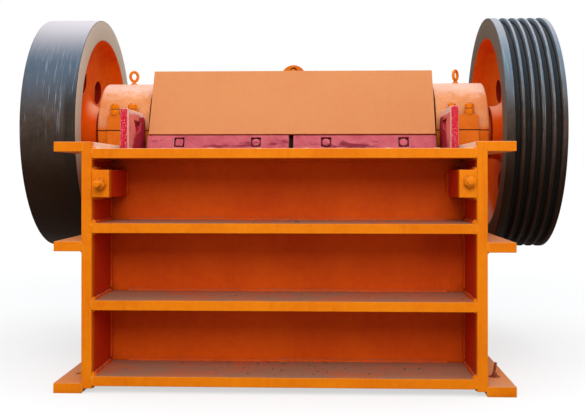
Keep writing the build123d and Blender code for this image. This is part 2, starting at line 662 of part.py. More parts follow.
def wheel(side, width, grooves):
    """Cast wheel: rim, dished web with round holes, and hub, turned about the shaft."""
    rim_inner = WHEEL_R - RIM_DEPTH
    hub_end = HUB_INSET + HUB_LENGTH
    bore = SHAFT_END_R + RUNNING_GAP
    near_hub = WEB_HUB_INSET[side]
    near_rim = WEB_RIM_INSET[side]
    points = [
        (HUB_INSET, bore),
        (HUB_INSET, HUB_R),
        (near_hub, HUB_R),
        (near_rim, rim_inner),
        (0, rim_inner),
        (0, WHEEL_R),
    ]
    for groove in range(grooves):
        middle = GROOVE_FIRST + groove * GROOVE_PITCH
        points.append((middle - GROOVE_TOP_WIDTH / 2, WHEEL_R))
        points.append((middle - GROOVE_ROOT_WIDTH / 2, WHEEL_R - GROOVE_DEPTH))
        points.append((middle + GROOVE_ROOT_WIDTH / 2, WHEEL_R - GROOVE_DEPTH))
        points.append((middle + GROOVE_TOP_WIDTH / 2, WHEEL_R))
    points += [
        (width, WHEEL_R),
        (width, rim_inner),
        (near_rim + WEB_THICK, rim_inner),
        (near_hub + WEB_THICK, HUB_R),
        (hub_end, HUB_R),
        (hub_end, bore),
    ]
    section = Polygon(*points, align=None)
    for x, r, size in ((near_hub, HUB_R, WEB_HUB_CHAMFER), (near_rim, rim_inner, WEB_RIM_CHAMFER)):
        corners = [
            vertex
            for vertex in section.vertices()
            if abs(vertex.Y - r) < 0.01 and min(abs(vertex.X - x), abs(vertex.X - x - WEB_THICK)) < 0.01
        ]
        section = chamfer(corners, size)
    turned = revolve(Plane.XZ * section, axis=Axis.X)
    for hole in range(WEB_HOLES):
        angle = math.radians(WEB_HOLE_START + hole * 360 / WEB_HOLES)
        y = WEB_HOLE_CIRCLE_R * math.cos(angle)
        z = WEB_HOLE_CIRCLE_R * math.sin(angle)
        turned -= Pos(near_rim, y, z) * Rot(0, 90, 0) * Cylinder(WEB_HOLE_R, width)
    if side == "left":
        turned = mirror(turned, Plane.YZ)
    return Pos(SIDES[side] * WHEEL_INNER, SHAFT_Y, SHAFT_Z) * turned


def pieces():
    """Every piece by its node's name."""
    made = {"front_wall": front_wall(), "rear_wall": rear_wall()}
    for place, top in FRONT_RIB_TOPS.items():
        made[f"front_rib_{place}"] = front_rib(top)
    for place, top in REAR_RIB_TOPS.items():
        made[f"rear_rib_{place}"] = rear_rib(top)
    for side in SIDES:
        made[f"side_plate_{side}"] = side_plate(side)
        made[f"top_flange_{side}"] = top_flange(side)
        made[f"side_rib_{side}"] = side_rib(side)
        made[f"foot_{side}"] = foot(side)
        made[f"side_gussets_{side}"] = side_gussets(side)
        made[f"bolt_block_{side}"] = bolt_block(side)
        made[f"bearing_base_{side}"] = bearing_base(side)
        made[f"bearing_cap_{side}"] = bearing_cap(side)
        made[f"eye_bolt_{side}"] = eye_bolt(side)
        made[f"cheek_plate_{side}"] = cheek_plate(side)
        made[f"fixed_jaw_plate_{side}"] = fixed_jaw_plate(side)
        made[f"moving_jaw_plate_{side}"] = moving_jaw_plate(side)
        made[f"tension_rod_{side}"] = tension_rod(side)
        made[f"rod_spring_{side}"] = rod_spring(side)
    made["toggle_beam"] = toggle_beam()
    made["toggle_plate"] = toggle_plate()
    made["eccentric_shaft"] = eccentric_shaft()
    made["flywheel"] = wheel("left", FLYWHEEL_WIDTH, 0)
    made["sheave"] = wheel("right", SHEAVE_WIDTH, GROOVE_COUNT)
    made["swing_jaw"] = swing_jaw()
    made["jaw_cover"] = jaw_cover()
    made["block_bolts"] = block_bolts()
    made["lifting_lug"] = lifting_lug()
    return made


os.makedirs("parts", exist_ok=True)
for name, piece in pieces().items():
    export_step(piece, f"parts/{name}.step")
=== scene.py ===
# %% [markdown]
# A jaw crusher, dressed around its CAD model.
# The frame gives every plate, casting and wheel in its real place, in metres. This lesson adds what
# a fitter and a painter would leave on them: rounded edges, weld beads, nuts, springs, paint, dust and rust.
# X runs along the shaft, Y runs back from the feed side and Z is up.

# %% Load the frame
import math

import bmesh
import bpy
import numpy as np
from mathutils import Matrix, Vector


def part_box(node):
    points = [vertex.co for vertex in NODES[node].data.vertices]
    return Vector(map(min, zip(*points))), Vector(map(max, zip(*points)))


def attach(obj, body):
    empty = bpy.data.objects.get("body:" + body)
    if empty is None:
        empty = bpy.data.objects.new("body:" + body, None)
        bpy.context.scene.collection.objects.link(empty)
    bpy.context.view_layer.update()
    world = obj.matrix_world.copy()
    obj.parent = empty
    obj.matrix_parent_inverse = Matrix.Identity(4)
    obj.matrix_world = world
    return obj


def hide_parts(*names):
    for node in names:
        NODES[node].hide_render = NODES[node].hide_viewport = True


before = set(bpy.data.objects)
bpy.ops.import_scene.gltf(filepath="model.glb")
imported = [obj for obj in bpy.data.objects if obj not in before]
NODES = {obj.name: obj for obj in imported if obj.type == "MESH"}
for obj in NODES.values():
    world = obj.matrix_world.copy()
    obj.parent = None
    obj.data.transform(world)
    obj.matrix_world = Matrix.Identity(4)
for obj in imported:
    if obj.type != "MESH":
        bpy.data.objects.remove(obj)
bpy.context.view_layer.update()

# %% [markdown]
# The camera stands in front of the machine, a little to the right of its middle and below the shaft.
# A long lens and a small vertical shift give the photograph's framing without tilting the uprights.

# %% Camera
CAMERA_PLACE = (0.1551, -3.8425, 0.7724)
CAMERA_TURN = (math.pi / 2 + 0.0038, 0, 0.0378)
LENS_MM = 54.08
SENSOR_MM = 36.0
FRAME_SHIFT = (-0.0019, -0.0606)

camera_data = bpy.data.cameras.new("camera")
camera_data.lens = LENS_MM
camera_data.sensor_width = SENSOR_MM
camera_data.shift_x, camera_data.shift_y = FRAME_SHIFT
camera = bpy.data.objects.new("camera", camera_data)
camera.location = CAMERA_PLACE
camera.rotation_euler = CAMERA_TURN
bpy.context.scene.collection.objects.link(camera)
bpy.context.scene.camera = camera
bpy.context.scene.view_settings.view_transform = "Standard"
print("camera", camera.name)

# %% [markdown]
# Node trees get long when each node takes five lines. A Field holds a node's output and can be reckoned
# with: sums and products of fields add Math nodes, a ramp adds a Map Range node, and a blend mixes two
# colours by a mask. What varies over a surface is then written as a formula.

# %% Node helpers


class Field:
    """A number, colour or direction that varies over the surface: the output of a node."""

    def __init__(self, socket):
        self.socket = socket
        self.tree = socket.id_data

    def math(self, operation, other=0.5, clamp=False):
        return field(self.tree, "ShaderNodeMath", {0: self, 1: other}, operation=operation, use_clamp=clamp)

    def __add__(self, other):
        return self.math("ADD", other)

    def __sub__(self, other):
        return self.math("SUBTRACT", other)

    def __rsub__(self, other):
        return field(self.tree, "ShaderNodeMath", {0: other, 1: self}, operation="SUBTRACT")

    def __mul__(self, other):
        return self.math("MULTIPLY", other)

    def __abs__(self):
        return self.math("ABSOLUTE")

    def share(self, amount):
        """This value times an amount, kept between 0 and 1."""
        return self.math("MULTIPLY", amount, clamp=True)

    def ramp(self, low, high, to_low=0.0, to_high=1.0):
        """This value between low and high, moved smoothly to the range from to_low to to_high."""
        inputs = {"Value": self, "From Min": low, "From Max": high, "To Min": to_low, "To Max": to_high}
        return field(self.tree, "ShaderNodeMapRange", inputs, interpolation_type="SMOOTHSTEP")


def plug(node, inputs):
    """Links fields to a node's inputs and sets plain values there; a key is a socket's name or number."""
    for key, value in inputs.items():
        if isinstance(value, Field):
            node.id_data.links.new(value.socket, node.inputs[key])
        else:
            node.inputs[key].default_value = value


def add_node(tree, kind, inputs=None, **settings):
    node = tree.nodes.new(kind)
    for name, value in settings.items():
        setattr(node, name, value)
    plug(node, inputs or {})
    return node


def field(tree, kind, inputs=None, output=0, **settings):
    """One output of a new node."""
    return Field(add_node(tree, kind, inputs, **settings).outputs[output])


def blend(mask, first, second):
    """The first colour where the mask is 0, the second where it is 1."""
    return field(mask.tree, "ShaderNodeMix", {0: mask, 6: first, 7: second}, 2, data_type="RGBA")


def noise(place, scale, detail=4.0, roughness=0.55):
    """Value of a fractal noise at this place, from 0 to 1."""
    inputs = {"Vector": place, "Scale": scale, "Detail": detail, "Roughness": roughness}
    return field(place.tree, "ShaderNodeTexNoise", inputs)


def split(place):
    """X, Y and Z of a place or a direction."""
    return [Field(socket) for socket in add_node(place.tree, "ShaderNodeSeparateXYZ", {0: place}).outputs]


def object_place(tree):
    """Place in the piece's own frame, which is the machine's."""
    return field(tree, "ShaderNodeTexCoord", output="Object")


def scaled_place(tree, scale):
    """The same place with each axis stretched by its own factor."""
    return field(tree, "ShaderNodeMapping", {"Vector": object_place(tree), "Scale": scale})


def surface_normal(tree):
    return field(tree, "ShaderNodeNewGeometry", output="Normal")


# %% [markdown]
# A node group holds an effect that several finishes share, and each finish gives it its own values. The
# group is built once from a recipe, and the keywords that stand above the recipe become its sockets.

# %% Shared effects
WHITE = (1, 1, 1, 1)


def socket_name(word):
    return word.replace("_", " ").title()


def shared_effect(gives, **inputs):
    """Makes a recipe into a node group with one output, and returns what places the group in a tree."""

    def build(recipe):
        group = bpy.data.node_groups.new(recipe.__name__, "ShaderNodeTree")
        for word, value in inputs.items():
            kind = "NodeSocketColor" if isinstance(value, tuple) else "NodeSocketFloat"
            socket = group.interface.new_socket(socket_name(word), in_out="INPUT", socket_type=kind)
            socket.default_value = value
        kind = "NodeSocketColor" if gives == "Color" else "NodeSocketFloat"
        group.interface.new_socket(gives, in_out="OUTPUT", socket_type=kind)
        given = group.nodes.new("NodeGroupInput").outputs
        result = recipe(group, *[Field(given[socket_name(word)]) for word in inputs])
        plug(group.nodes.new("NodeGroupOutput"), {gives: result})
        print("group", group.name)

        def place_group(tree, **values):
            named = {socket_name(word): value for word, value in values.items()}
            return field(tree, "ShaderNodeGroup", named, gives, node_tree=group)

        return place_group

    return build


# %% [markdown]
# Brushed and sprayed paint is never one colour. Broad clouds of a darker tone, with finer ones
# laid over them, give the uneven coat. The same group serves paint, primer and bare steel.

# %% Group: uneven coat


@shared_effect("Color", color=WHITE, second_color=WHITE, broad_scale=3.0, fine_scale=40.0, amount=0.5)
def uneven_coat(tree, color, second_color, broad_scale, fine_scale, amount):
    place = object_place(tree)
    broad = noise(place, broad_scale).ramp(0.35, 0.7)
    fine = noise(place, fine_scale, 6.0).ramp(0.35, 0.75)
    return blend((broad * 0.65 + fine * 0.35).share(amount), color, second_color)


# %% [markdown]
# Stone dust settles on what faces up and stays thin on slopes. The mask compares the upward part of
# the surface's direction with a threshold, and a noise frays its border.

# %% Group: settled dust


@shared_effect("Mask", slope=0.7, scale=12.0, amount=0.8)
def settled_dust(tree, slope, scale, amount):
    place = object_place(tree)
    upward = split(surface_normal(tree))[2]
    frayed = noise(place, scale, 8.0, 0.65) * 0.5 - 0.25
    lying = (upward + frayed - slope).ramp(-0.02, 0.28)
    patches = noise(place, 5.0, 5.0).ramp(0.3, 0.62, 0.62, 1.0)
    return (lying * patches).share(amount)


# %% [markdown]
# Paint wears first where an edge sticks out. A Bevel node gives the direction that a rounded edge
# would have; where it differs from the true one there is an edge, and a noise breaks the line up.

# %% Group: edge rub


@shared_effect("Mask", width=0.004, scale=60.0, amount=1.0)
def edge_rub(tree, width, scale, amount):
    rounded = field(tree, "ShaderNodeBevel", {"Radius": width}, samples=4)
    both = {0: rounded, 1: surface_normal(tree)}
    edge = field(tree, "ShaderNodeVectorMath", both, "Value", operation="DOT_PRODUCT").ramp(0.99, 0.8)
    broken = noise(object_place(tree), scale, 6.0, 0.7).ramp(0.42, 0.6)
    return (edge * broken).share(amount)


# %% [markdown]
# Dirt gathers in corners, where neither rain nor a rag reaches, and shade falls there too. Ambient
# occlusion finds them, and the mask that darkens them is grime with painted shade.

# %% Group: corner grime and painted shade


@shared_effect("Mask", reach=0.05, amount=0.6)
def corner_grime_and_shade(tree, reach, amount):
    hidden = field(tree, "ShaderNodeAmbientOcclusion", {"Distance": reach}, "AO", samples=4).ramp(0.8, 0.25)
    frayed = noise(object_place(tree), 25.0, 6.0).ramp(0.25, 0.65, 0.4, 1.0)
    return (hidden * frayed).share(amount)


# %% [markdown]
# Rain and wash water leave upright runs. The noise is squeezed across and drawn out along Z.

# %% Group: water runs


@shared_effect("Mask", amount=0.4)
def water_runs(tree, amount):
    narrow = noise(scaled_place(tree, (55.0, 55.0, 2.2)), 1.0, 5.0, 0.6).ramp(0.45, 0.75)
    wide = noise(scaled_place(tree, (9.0, 9.0, 1.1)), 1.0, 3.0, 0.5).ramp(0.4, 0.65)
    return (narrow * wide).share(amount)


# %% [markdown]
# Rolled plate and castings both have a skin. One group adds a broad unevenness to a fine grain,
# as a height that each finish's Bump node turns into shading.

# %% Group: surface skin


@shared_effect("Height", grain=260.0, lumps=18.0, lump_share=0.6)
def surface_skin(tree, grain, lumps, lump_share):
    place = object_place(tree)
    return noise(place, grain, 3.0) + noise(place, lumps) * lump_share


# %% [markdown]
# Every finish ends in the same way: colour, roughness and metal go to the Principled shader, and a
# height goes through a Bump node to its normal.


def shade(tree, color, roughness, height, bump_strength, bump_depth, metal=0.0, specular=0.5):
    """Sets the Principled shader of a material's tree; fields and plain numbers both serve."""
    bump = {"Strength": bump_strength, "Distance": bump_depth, "Height": height}
    inputs = {"Base Color": color, "Roughness": roughness, "Metallic": metal, "Specular IOR Level": specular}
    inputs["Normal"] = field(tree, "ShaderNodeBump", bump)
    plug(tree.nodes["Principled BSDF"], inputs)


def make_finish(name, slot, recipe, *values, **more):
    """A material made by a recipe, which fills the material's node tree."""
    material = bpy.data.materials.new(name)
    material.use_nodes = True
    recipe(material.node_tree, *values, **more)
    print("finish", name)
    return material


def rgb(red, green, blue):
    """A colour given as on a screen, from 0 to 255, turned into the linear values that Blender takes."""
    share = np.array([red, green, blue]) / 255
    linear = np.where(share <= 0.04045, share / 12.92, ((share + 0.055) / 1.055) ** 2.4)
    return (*linear.tolist(), 1.0)


DUST = rgb(156, 114, 90)
PALE_DUST = rgb(228, 192, 176)
GRIME_AND_SHADE = rgb(62, 16, 6)

# %% [markdown]
# The frame is sprayed orange. Inside the front bays the coat is painted redder and darker, as painted
# shade and the orange light bounced about the recess; it is painted darkest on the insides of the side
# plates, as painted shade, and the shelves carry stone dust. Corners are darkened with grime and
# painted shade. The bays are found by place: between the side plates, in front of the front wall's
# back. Above the top rib the insides of the side plates are scraped pale by the stone that is tipped
# in, and so is the deck.

# %% Frame paint
INSIDE_X = 0.681
BAY_FRONT_Y = -0.747
DECK_Z = 0.855


def frame_paint(tree):
    coat = uneven_coat(
        tree, color=rgb(230, 126, 8), second_color=rgb(212, 100, 2), broad_scale=4.0, amount=0.8
    )
    # The bay coat is redder and darker than the front's: painted shade and painted bounced light.
    inner = uneven_coat(tree, color=rgb(226, 90, 12), second_color=rgb(204, 66, 8), amount=0.8)
    x, y, z = split(object_place(tree))
    normal_x, _, upward = split(surface_normal(tree))
    outward, sideways = abs(x), abs(normal_x)
    # Faces that look along X are painted darker still: painted shade, as little light comes from the sides.
    inner = blend(sideways.ramp(0.6, 0.9), inner, rgb(200, 48, 15))
    between = outward.ramp(INSIDE_X + 0.005, INSIDE_X) * y.ramp(BAY_FRONT_Y, BAY_FRONT_Y + 0.047)
    color = blend(between * y.ramp(0.1, 0.0), coat, inner)
    scraped = z.ramp(DECK_Z + 0.011, DECK_Z + 0.017) * sideways.ramp(0.5, 0.9) * between
    color = blend(scraped * 0.9, color, rgb(238, 206, 184))
    color = blend(water_runs(tree, amount=0.16), color, rgb(170, 56, 6))
    # Corners and narrow gaps are darkened: grime with painted shade.
    color = blend(corner_grime_and_shade(tree, reach=0.045, amount=0.35), color, GRIME_AND_SHADE)
    color = blend(corner_grime_and_shade(tree, reach=0.007, amount=0.9), color, GRIME_AND_SHADE)
    color = blend(edge_rub(tree, width=0.004, scale=45.0, amount=0.6), color, rgb(250, 168, 60))
    dust = settled_dust(tree, slope=0.72, scale=14.0, amount=0.95)
    on_deck = z.ramp(DECK_Z, DECK_Z + 0.007)
    lying = blend(outward.ramp(0.68, 0.70), DUST, rgb(206, 142, 100))
    lying = blend(on_deck, lying, rgb(228, 190, 158))
    color = blend(dust, color, lying)
    color = blend(on_deck * upward.ramp(0.7, 0.95) * 0.7, color, rgb(230, 194, 164))
    skin = surface_skin(tree, grain=180.0, lumps=9.0, lump_share=1.5)
    shade(tree, color, dust.ramp(0.0, 1.0, 0.5, 0.9), skin, 0.25, 0.0015, specular=0.06)


FRAME_PAINT = make_finish("frame_paint", "frame_paint", frame_paint)

# %% [markdown]
# The bearing housings and the swing jaw are castings in the same orange, with a coarser skin. The
# round skin of a housing's upper half is painted a pale peach down to the joint between its halves, a
# painted sheen of the bright sky, while the ears keep the full colour. Distance from the shaft tells
# them apart. The joint itself is a dark line. A dark slit down the middle of the swing jaw's front is
# painted shade in the gap between the jaw plates, and corners are darkened with grime and painted shade.

# %% Casting paint
SHAFT_Y = 0.268
SHAFT_Z = 0.974
HOUSING_R = 0.228
HOUSING_END = 0.868


def from_shaft(tree):
    """Distance of the place from the shaft's axis."""
    shifted = {"Vector": object_place(tree), "Location": (0, -SHAFT_Y, -SHAFT_Z)}
    flat = {0: field(tree, "ShaderNodeMapping", shifted), 1: (0, 1, 1)}
    across = field(tree, "ShaderNodeVectorMath", flat, operation="MULTIPLY")
    return field(tree, "ShaderNodeVectorMath", {0: across}, "Value", operation="LENGTH")


def casting_paint(tree):
    coat = uneven_coat(
        tree, color=rgb(220, 116, 20), second_color=rgb(204, 92, 10), broad_scale=7.0, amount=0.8
    )
    # The upper half of the round skin is painted pale peach: a painted sheen of the bright sky.
    tones = {"color": rgb(216, 146, 98), "second_color": rgb(200, 118, 58)}
    pale_sheen = uneven_coat(tree, **tones, broad_scale=9.0, fine_scale=95.0, amount=0.9)
    x, _, z = split(object_place(tree))
    facing_y = split(surface_normal(tree))[1]
    on_housing = abs(x).ramp(0.625, 0.630)
    within = from_shaft(tree).ramp(HOUSING_R + 0.004, HOUSING_R + 0.001)
    round_skin = on_housing * within * z.ramp(SHAFT_Z - 0.002, SHAFT_Z + 0.03)
    color = blend(round_skin, coat, pale_sheen)
    # Corners and crevices are darkened: grime with painted shade.
    color = blend(corner_grime_and_shade(tree, reach=0.05, amount=0.6), color, rgb(96, 28, 8))
    color = blend(corner_grime_and_shade(tree, reach=0.010, amount=1.0), color, rgb(70, 22, 8))
    rub = edge_rub(tree, width=0.004, scale=50.0, amount=0.5) * round_skin.ramp(0.3, 0.0)
    color = blend(rub, color, rgb(250, 176, 100))
    joint = on_housing * abs(z - SHAFT_Z).ramp(0.0034, 0.0018)
    color = blend(joint, color, rgb(74, 24, 8))
    # A dark strip down the middle of the front: painted shade in the gap between the jaw plates.
    gap_shade = abs(x).ramp(0.010, 0.008) * facing_y.ramp(-0.4, -0.7) * z.ramp(1.05, 1.00)
    color = blend(gap_shade, color, rgb(28, 12, 10))
    dust = settled_dust(tree, slope=0.62, scale=30.0, amount=0.8)
    color = blend(dust, color, PALE_DUST)
    skin = surface_skin(tree, grain=150.0, lumps=35.0, lump_share=1.0)
    shade(tree, color, dust.ramp(0.0, 1.0, 0.5, 0.8), skin, 0.6, 0.003, specular=0.10)


CASTING_PAINT = make_finish("casting_paint", "bearing_paint", casting_paint)

# %% [markdown]
# The cover in front of the barrel is thin sheet with a flat, pale coat.

# %% Cover paint


def cover_paint(tree):
    coat = uneven_coat(
        tree, color=rgb(204, 132, 82), second_color=rgb(196, 122, 74), broad_scale=2.5, amount=0.7
    )
    color = blend(water_runs(tree, amount=0.12), coat, rgb(176, 102, 58))
    color = blend(edge_rub(tree, width=0.005, scale=30.0, amount=0.7), color, rgb(232, 176, 128))
    skin = surface_skin(tree, grain=220.0, lumps=4.0, lump_share=2.0)
    shade(tree, color, 0.6, skin, 0.12, 0.0015, specular=0.12)


COVER_PAINT = make_finish("cover_paint", "cover_paint", cover_paint)

# %% [markdown]
# The wear parts are manganese steel under a thin red primer that rubs off. The jaws are pinkish with
# dark scuffs that run across them; the cheeks are brighter red on their pitted front edges.

# %% Wear part primer


def jaw_primer(tree):
    coat = uneven_coat(
        tree, color=rgb(200, 96, 104), second_color=rgb(170, 60, 76), broad_scale=9.0, amount=0.9
    )
    scuffs = noise(scaled_place(tree, (7.0, 24.0, 24.0)), 1.0, 6.0, 0.6).ramp(0.54, 0.66) * 0.9
    color = blend(scuffs, coat, rgb(120, 10, 38))
    # A dark line right under the cover and in the corners: painted shadow, with grime.
    color = blend(corner_grime_and_shade(tree, reach=0.012, amount=1.0), color, rgb(52, 8, 16))
    color = blend(edge_rub(tree, width=0.005, scale=70.0, amount=0.6), color, rgb(222, 156, 154))
    skin = surface_skin(tree, grain=120.0, lumps=40.0, lump_share=1.2)
    shade(tree, color, 0.6, skin, 0.5, 0.003, specular=0.15)


def cheek_primer(tree):
    """Red edge with pale pits, a scraped pale band behind it, pink above and dark red low at the back."""
    low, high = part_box("cheek_plate_left")
    tones = {"color": rgb(244, 138, 122), "second_color": rgb(222, 88, 86)}
    inner = uneven_coat(tree, **tones, broad_scale=11.0, amount=0.9)
    place = object_place(tree)
    _, y, z = split(place)
    facing_y = split(surface_normal(tree))[1]
    behind = y - low[1]
    below = high[2] - z
    wander = noise(place, 22.0, 5.0) * 0.07
    color = blend((behind + below + wander).ramp(0.24, 0.31), inner, rgb(164, 32, 54))
    scraped = behind.math("MINIMUM", below * 1.6) - wander * 0.7
    color = blend(scraped.ramp(0.010, -0.006), color, rgb(250, 204, 190))
    pits = noise(place, 210.0, 4.0, 0.7).ramp(0.54, 0.62)
    color = blend(facing_y.ramp(-0.35, -0.8), color, blend(pits, rgb(188, 14, 44), rgb(236, 128, 138)))
    # Corners are darkened: grime with painted shade.
    color = blend(corner_grime_and_shade(tree, reach=0.018, amount=0.9), color, rgb(84, 8, 20))
    color = blend(edge_rub(tree, width=0.006, scale=60.0, amount=0.9), color, rgb(250, 214, 200))
    skin = surface_skin(tree, grain=100.0, lumps=45.0, lump_share=1.0)
    shade(tree, color, 0.6, skin, 0.8, 0.004, specular=0.10)


JAW_PRIMER = make_finish("jaw_primer", "jaw_red", jaw_primer)
CHEEK_PRIMER = make_finish("cheek_primer", "jaw_red", cheek_primer)

# %% [markdown]
# A wheel has three finishes on one casting: a dark tread, turned side faces on the rim, and an orange
# bowl that takes in the web, the hub and the rim's inside; the holes' walls are painted a darker red, as
# shade. The material tells them apart by the distance from the shaft's axis and by whether the surface
# faces along the shaft. The tread's colour is painted light by the way it faces: above, blue steel for a
# painted reflection of the sky and pale for a painted highlight, with bright scratches painted only where
# the light catches them; below, a near black-brown painted shade; in the grooves, painted shade. The
# bowl's upward faces are painted pale, a painted highlight, and its corners dark, grime with painted shade.

# %% Wheel finish
WHEEL_R = 0.523
RIM_INNER_R = 0.430
HOLE_R = 0.055
HOLE_CIRCLE_R = 0.252


def side_tone(tree, radius, z, grooved):
    """Turned rings; clean steel on the flywheel, painted darker downwards as painted shade; brown on the
    sheave.
    """
    rings = field(tree, "ShaderNodeCombineXYZ", {0: radius * 260.0})
    turned = noise(rings, 1.0, 3.0).ramp(0.3, 0.7)
    clean = blend(turned, rgb(208, 194, 178), rgb(176, 160, 142))
    # Darker towards the bottom: painted shade.
    shaded_low = z.ramp(SHAFT_Z + 0.25, SHAFT_Z - 0.30) * 0.8
    clean = blend(shaded_low, clean, rgb(140, 112, 92))
    return blend(grooved, clean, blend(turned, rgb(118, 104, 90), rgb(92, 78, 66)))


def tread_tone_and_light(tree, radius, x, upward, grooved, bands):
    """Painted light by facing: blue sky reflection and pale highlight above, shade below; scratches painted
    as glints where light catches them; painted shade in the grooves, soot by the rim's edge.
    """
    tread = uneven_coat(
        tree, color=rgb(88, 76, 68), second_color=rgb(56, 44, 36), broad_scale=6.0, amount=1.0
    )
    # Upward faces are painted blue: a painted reflection of the sky.
    blue = blend(grooved, rgb(80, 98, 116), rgb(106, 126, 142))
    tread = blend(upward.ramp(0.0, 0.55) * 0.8, tread, blue)
    # Scratches, painted bright only on the band that faces the light: real scratches with painted glints.
    lit_scratches = bands.ramp(0.55, 0.70) * (upward.ramp(-0.3, 0.15) * upward.ramp(0.85, 0.5)) * 0.65
    tread = blend(lit_scratches, tread, rgb(150, 166, 180))
    # Upward faces are painted pale: a painted highlight.
    top_highlight = upward.ramp(0.5, 1.0) * grooved.ramp(0.0, 1.0, 0.9, 0.45)
    tread = blend(top_highlight, tread, rgb(204, 196, 200))
    # Downward faces are painted near black-brown: painted shade.
    tread = blend(upward.ramp(0.25, -0.45) * 0.94, tread, rgb(34, 18, 6))
    border = abs(x).ramp(0.936, 0.926) * x.ramp(0.1, -0.1) * upward.ramp(0.45, 0.1) * 0.6
    tread = blend(border, tread, rgb(34, 28, 22))
    # The grooves are painted dark: painted shade.
    groove_shade = radius.ramp(WHEEL_R - 0.004, WHEEL_R - 0.019) * 0.85
    return blend(groove_shade, tread, rgb(16, 15, 14))


def wheel_iron(tree):
    radius = from_shaft(tree)
    x, _, z = split(object_place(tree))
    normal_x, _, upward = split(surface_normal(tree))
    sideways = abs(normal_x)
    grooved = x.ramp(-0.1, 0.1)
    web = uneven_coat(
        tree, color=rgb(240, 104, 14), second_color=rgb(226, 74, 8), broad_scale=8.0, amount=0.9
    )
    # Upward faces of the bowl, the hub's flare most, are painted pale: a painted highlight.
    web = blend(upward.ramp(0.35, 0.95) * 0.75, web, rgb(250, 196, 160))
    # The bowl's corners are darkened: grime with painted shade.
    web = blend(corner_grime_and_shade(tree, reach=0.05, amount=0.6), web, rgb(122, 30, 6))
    # The holes' walls are painted a darker red: painted shade inside the holes.
    hole_shade = sideways.ramp(0.8, 0.4) * abs(radius - HOLE_CIRCLE_R).ramp(HOLE_R + 0.004, HOLE_R + 0.001)
    web = blend(hole_shade, web, rgb(128, 22, 10))
    bands = noise(scaled_place(tree, (190.0, 6.0, 6.0)), 1.0, 5.0, 0.6)
    tread = tread_tone_and_light(tree, radius, x, upward, grooved, bands)
    rim = blend(sideways.ramp(0.975, 0.992), tread, side_tone(tree, radius, z, grooved))
    bowl = radius.ramp(RIM_INNER_R + 0.0035, RIM_INNER_R + 0.001)
    color = blend(bowl, rim, web)
    # Rubbed edges: wear, painted pale on upper edges and brown on lower ones, a painted highlight above.
    edge_wear_and_light = blend(upward.ramp(-0.3, 0.5), rgb(104, 78, 56), rgb(226, 216, 206))
    color = blend(edge_rub(tree, width=0.004, scale=50.0, amount=0.9), color, edge_wear_and_light)
    height = noise(object_place(tree), 140.0) + bands
    shade(tree, color, bowl.ramp(0.0, 1.0, 0.7, 0.75), height, 0.2, 0.0015, specular=0.05)


WHEEL_IRON = make_finish("wheel_iron", "wheel_iron", wheel_iron)

# %% [markdown]
# Bare parts are oiled steel, spring steel is black, and the one loose bolt on the foot is rusty. The
# shaft is bare at its ends only: what lies nearer the middle, between the housings and the wheels and
# on the tension rods, took paint with the rest.

# %% Steel finishes
COLLAR_END = 0.930


def bare_steel(tree, color, second_color, roughness, metal, painted_collar=False):
    coat = uneven_coat(tree, color=color, second_color=second_color, broad_scale=14.0, amount=1.0)
    # Corners are darkened: grime with painted shade.
    color = blend(corner_grime_and_shade(tree, reach=0.02, amount=0.45), coat, rgb(58, 32, 20))
    if painted_collar:
        collar = abs(split(object_place(tree))[0]).ramp(COLLAR_END + 0.001, COLLAR_END)
        color = blend(collar, color, rgb(214, 84, 12))
        metal = collar.ramp(0.0, 1.0, metal, 0.0)
    shade(tree, color, roughness, surface_skin(tree, grain=400.0, lumps=60.0), 0.2, 0.001, metal=metal)


SHAFT_TONES = (rgb(168, 164, 158), rgb(122, 112, 102))
SHAFT_STEEL = make_finish(
    "shaft_steel", "shaft_steel", bare_steel, *SHAFT_TONES, 0.34, 0.85, painted_collar=True
)
SPRING_STEEL = make_finish(
    "spring_steel", "spring_steel", bare_steel, rgb(54, 52, 52), rgb(84, 62, 46), 0.45, 0.4
)
RUSTY_STEEL = make_finish(
    "rusty_steel", "shaft_steel", bare_steel, rgb(166, 78, 32), rgb(104, 42, 22), 0.8, 0.0
)
STONE_GREY = make_finish(
    "stone_grey", "frame_paint", bare_steel, rgb(128, 100, 82), rgb(70, 52, 44), 0.9, 0.0
)

# %% [markdown]
# New shapes are grids of points, worked out as whole arrays. One function joins grids into a mesh:
# where a row of a grid shrinks to a point, merging the doubles closes the shape there.

# %% Mesh helpers
PLAIN_CREASE, NUT_CREASE, ROUND_CREASE = 40.0, 35.0, 60.0


def grid_quads(rows, columns, first):
    """Corner numbers of the quads of a grid whose columns close on themselves."""
    row = np.arange(rows - 1)[:, None]
    column = np.arange(columns)[None, :]
    following = (column + 1) % columns
    near = row * columns
    far = near + columns
    corners = [near + column, near + following, far + following, far + column]
    return first + np.stack(corners, axis=-1).reshape(-1, 4)


def make_piece(name, grids, body, material, smooth_degrees=PLAIN_CREASE):
    """A piece from grids of points, each rows by columns by three, closed round its columns."""
    points = np.concatenate([grid.reshape(-1, 3) for grid in grids])
    starts = np.cumsum([0] + [grid.shape[0] * grid.shape[1] for grid in grids])
    quads = np.concatenate([grid_quads(*grid.shape[:2], start) for grid, start in zip(grids, starts)])
    mesh = bpy.data.meshes.new(name)
    mesh.from_pydata(points.tolist(), [], quads.tolist())
    work = bmesh.new()
    work.from_mesh(mesh)
    bmesh.ops.remove_doubles(work, verts=work.verts, dist=5e-6)
    bmesh.ops.recalc_face_normals(work, faces=work.faces)
    work.to_mesh(mesh)
    work.free()
    piece = finish_piece(name, mesh, body, material, smooth_degrees)
    print(piece.name, len(piece.data.polygons), "faces")
    return piece


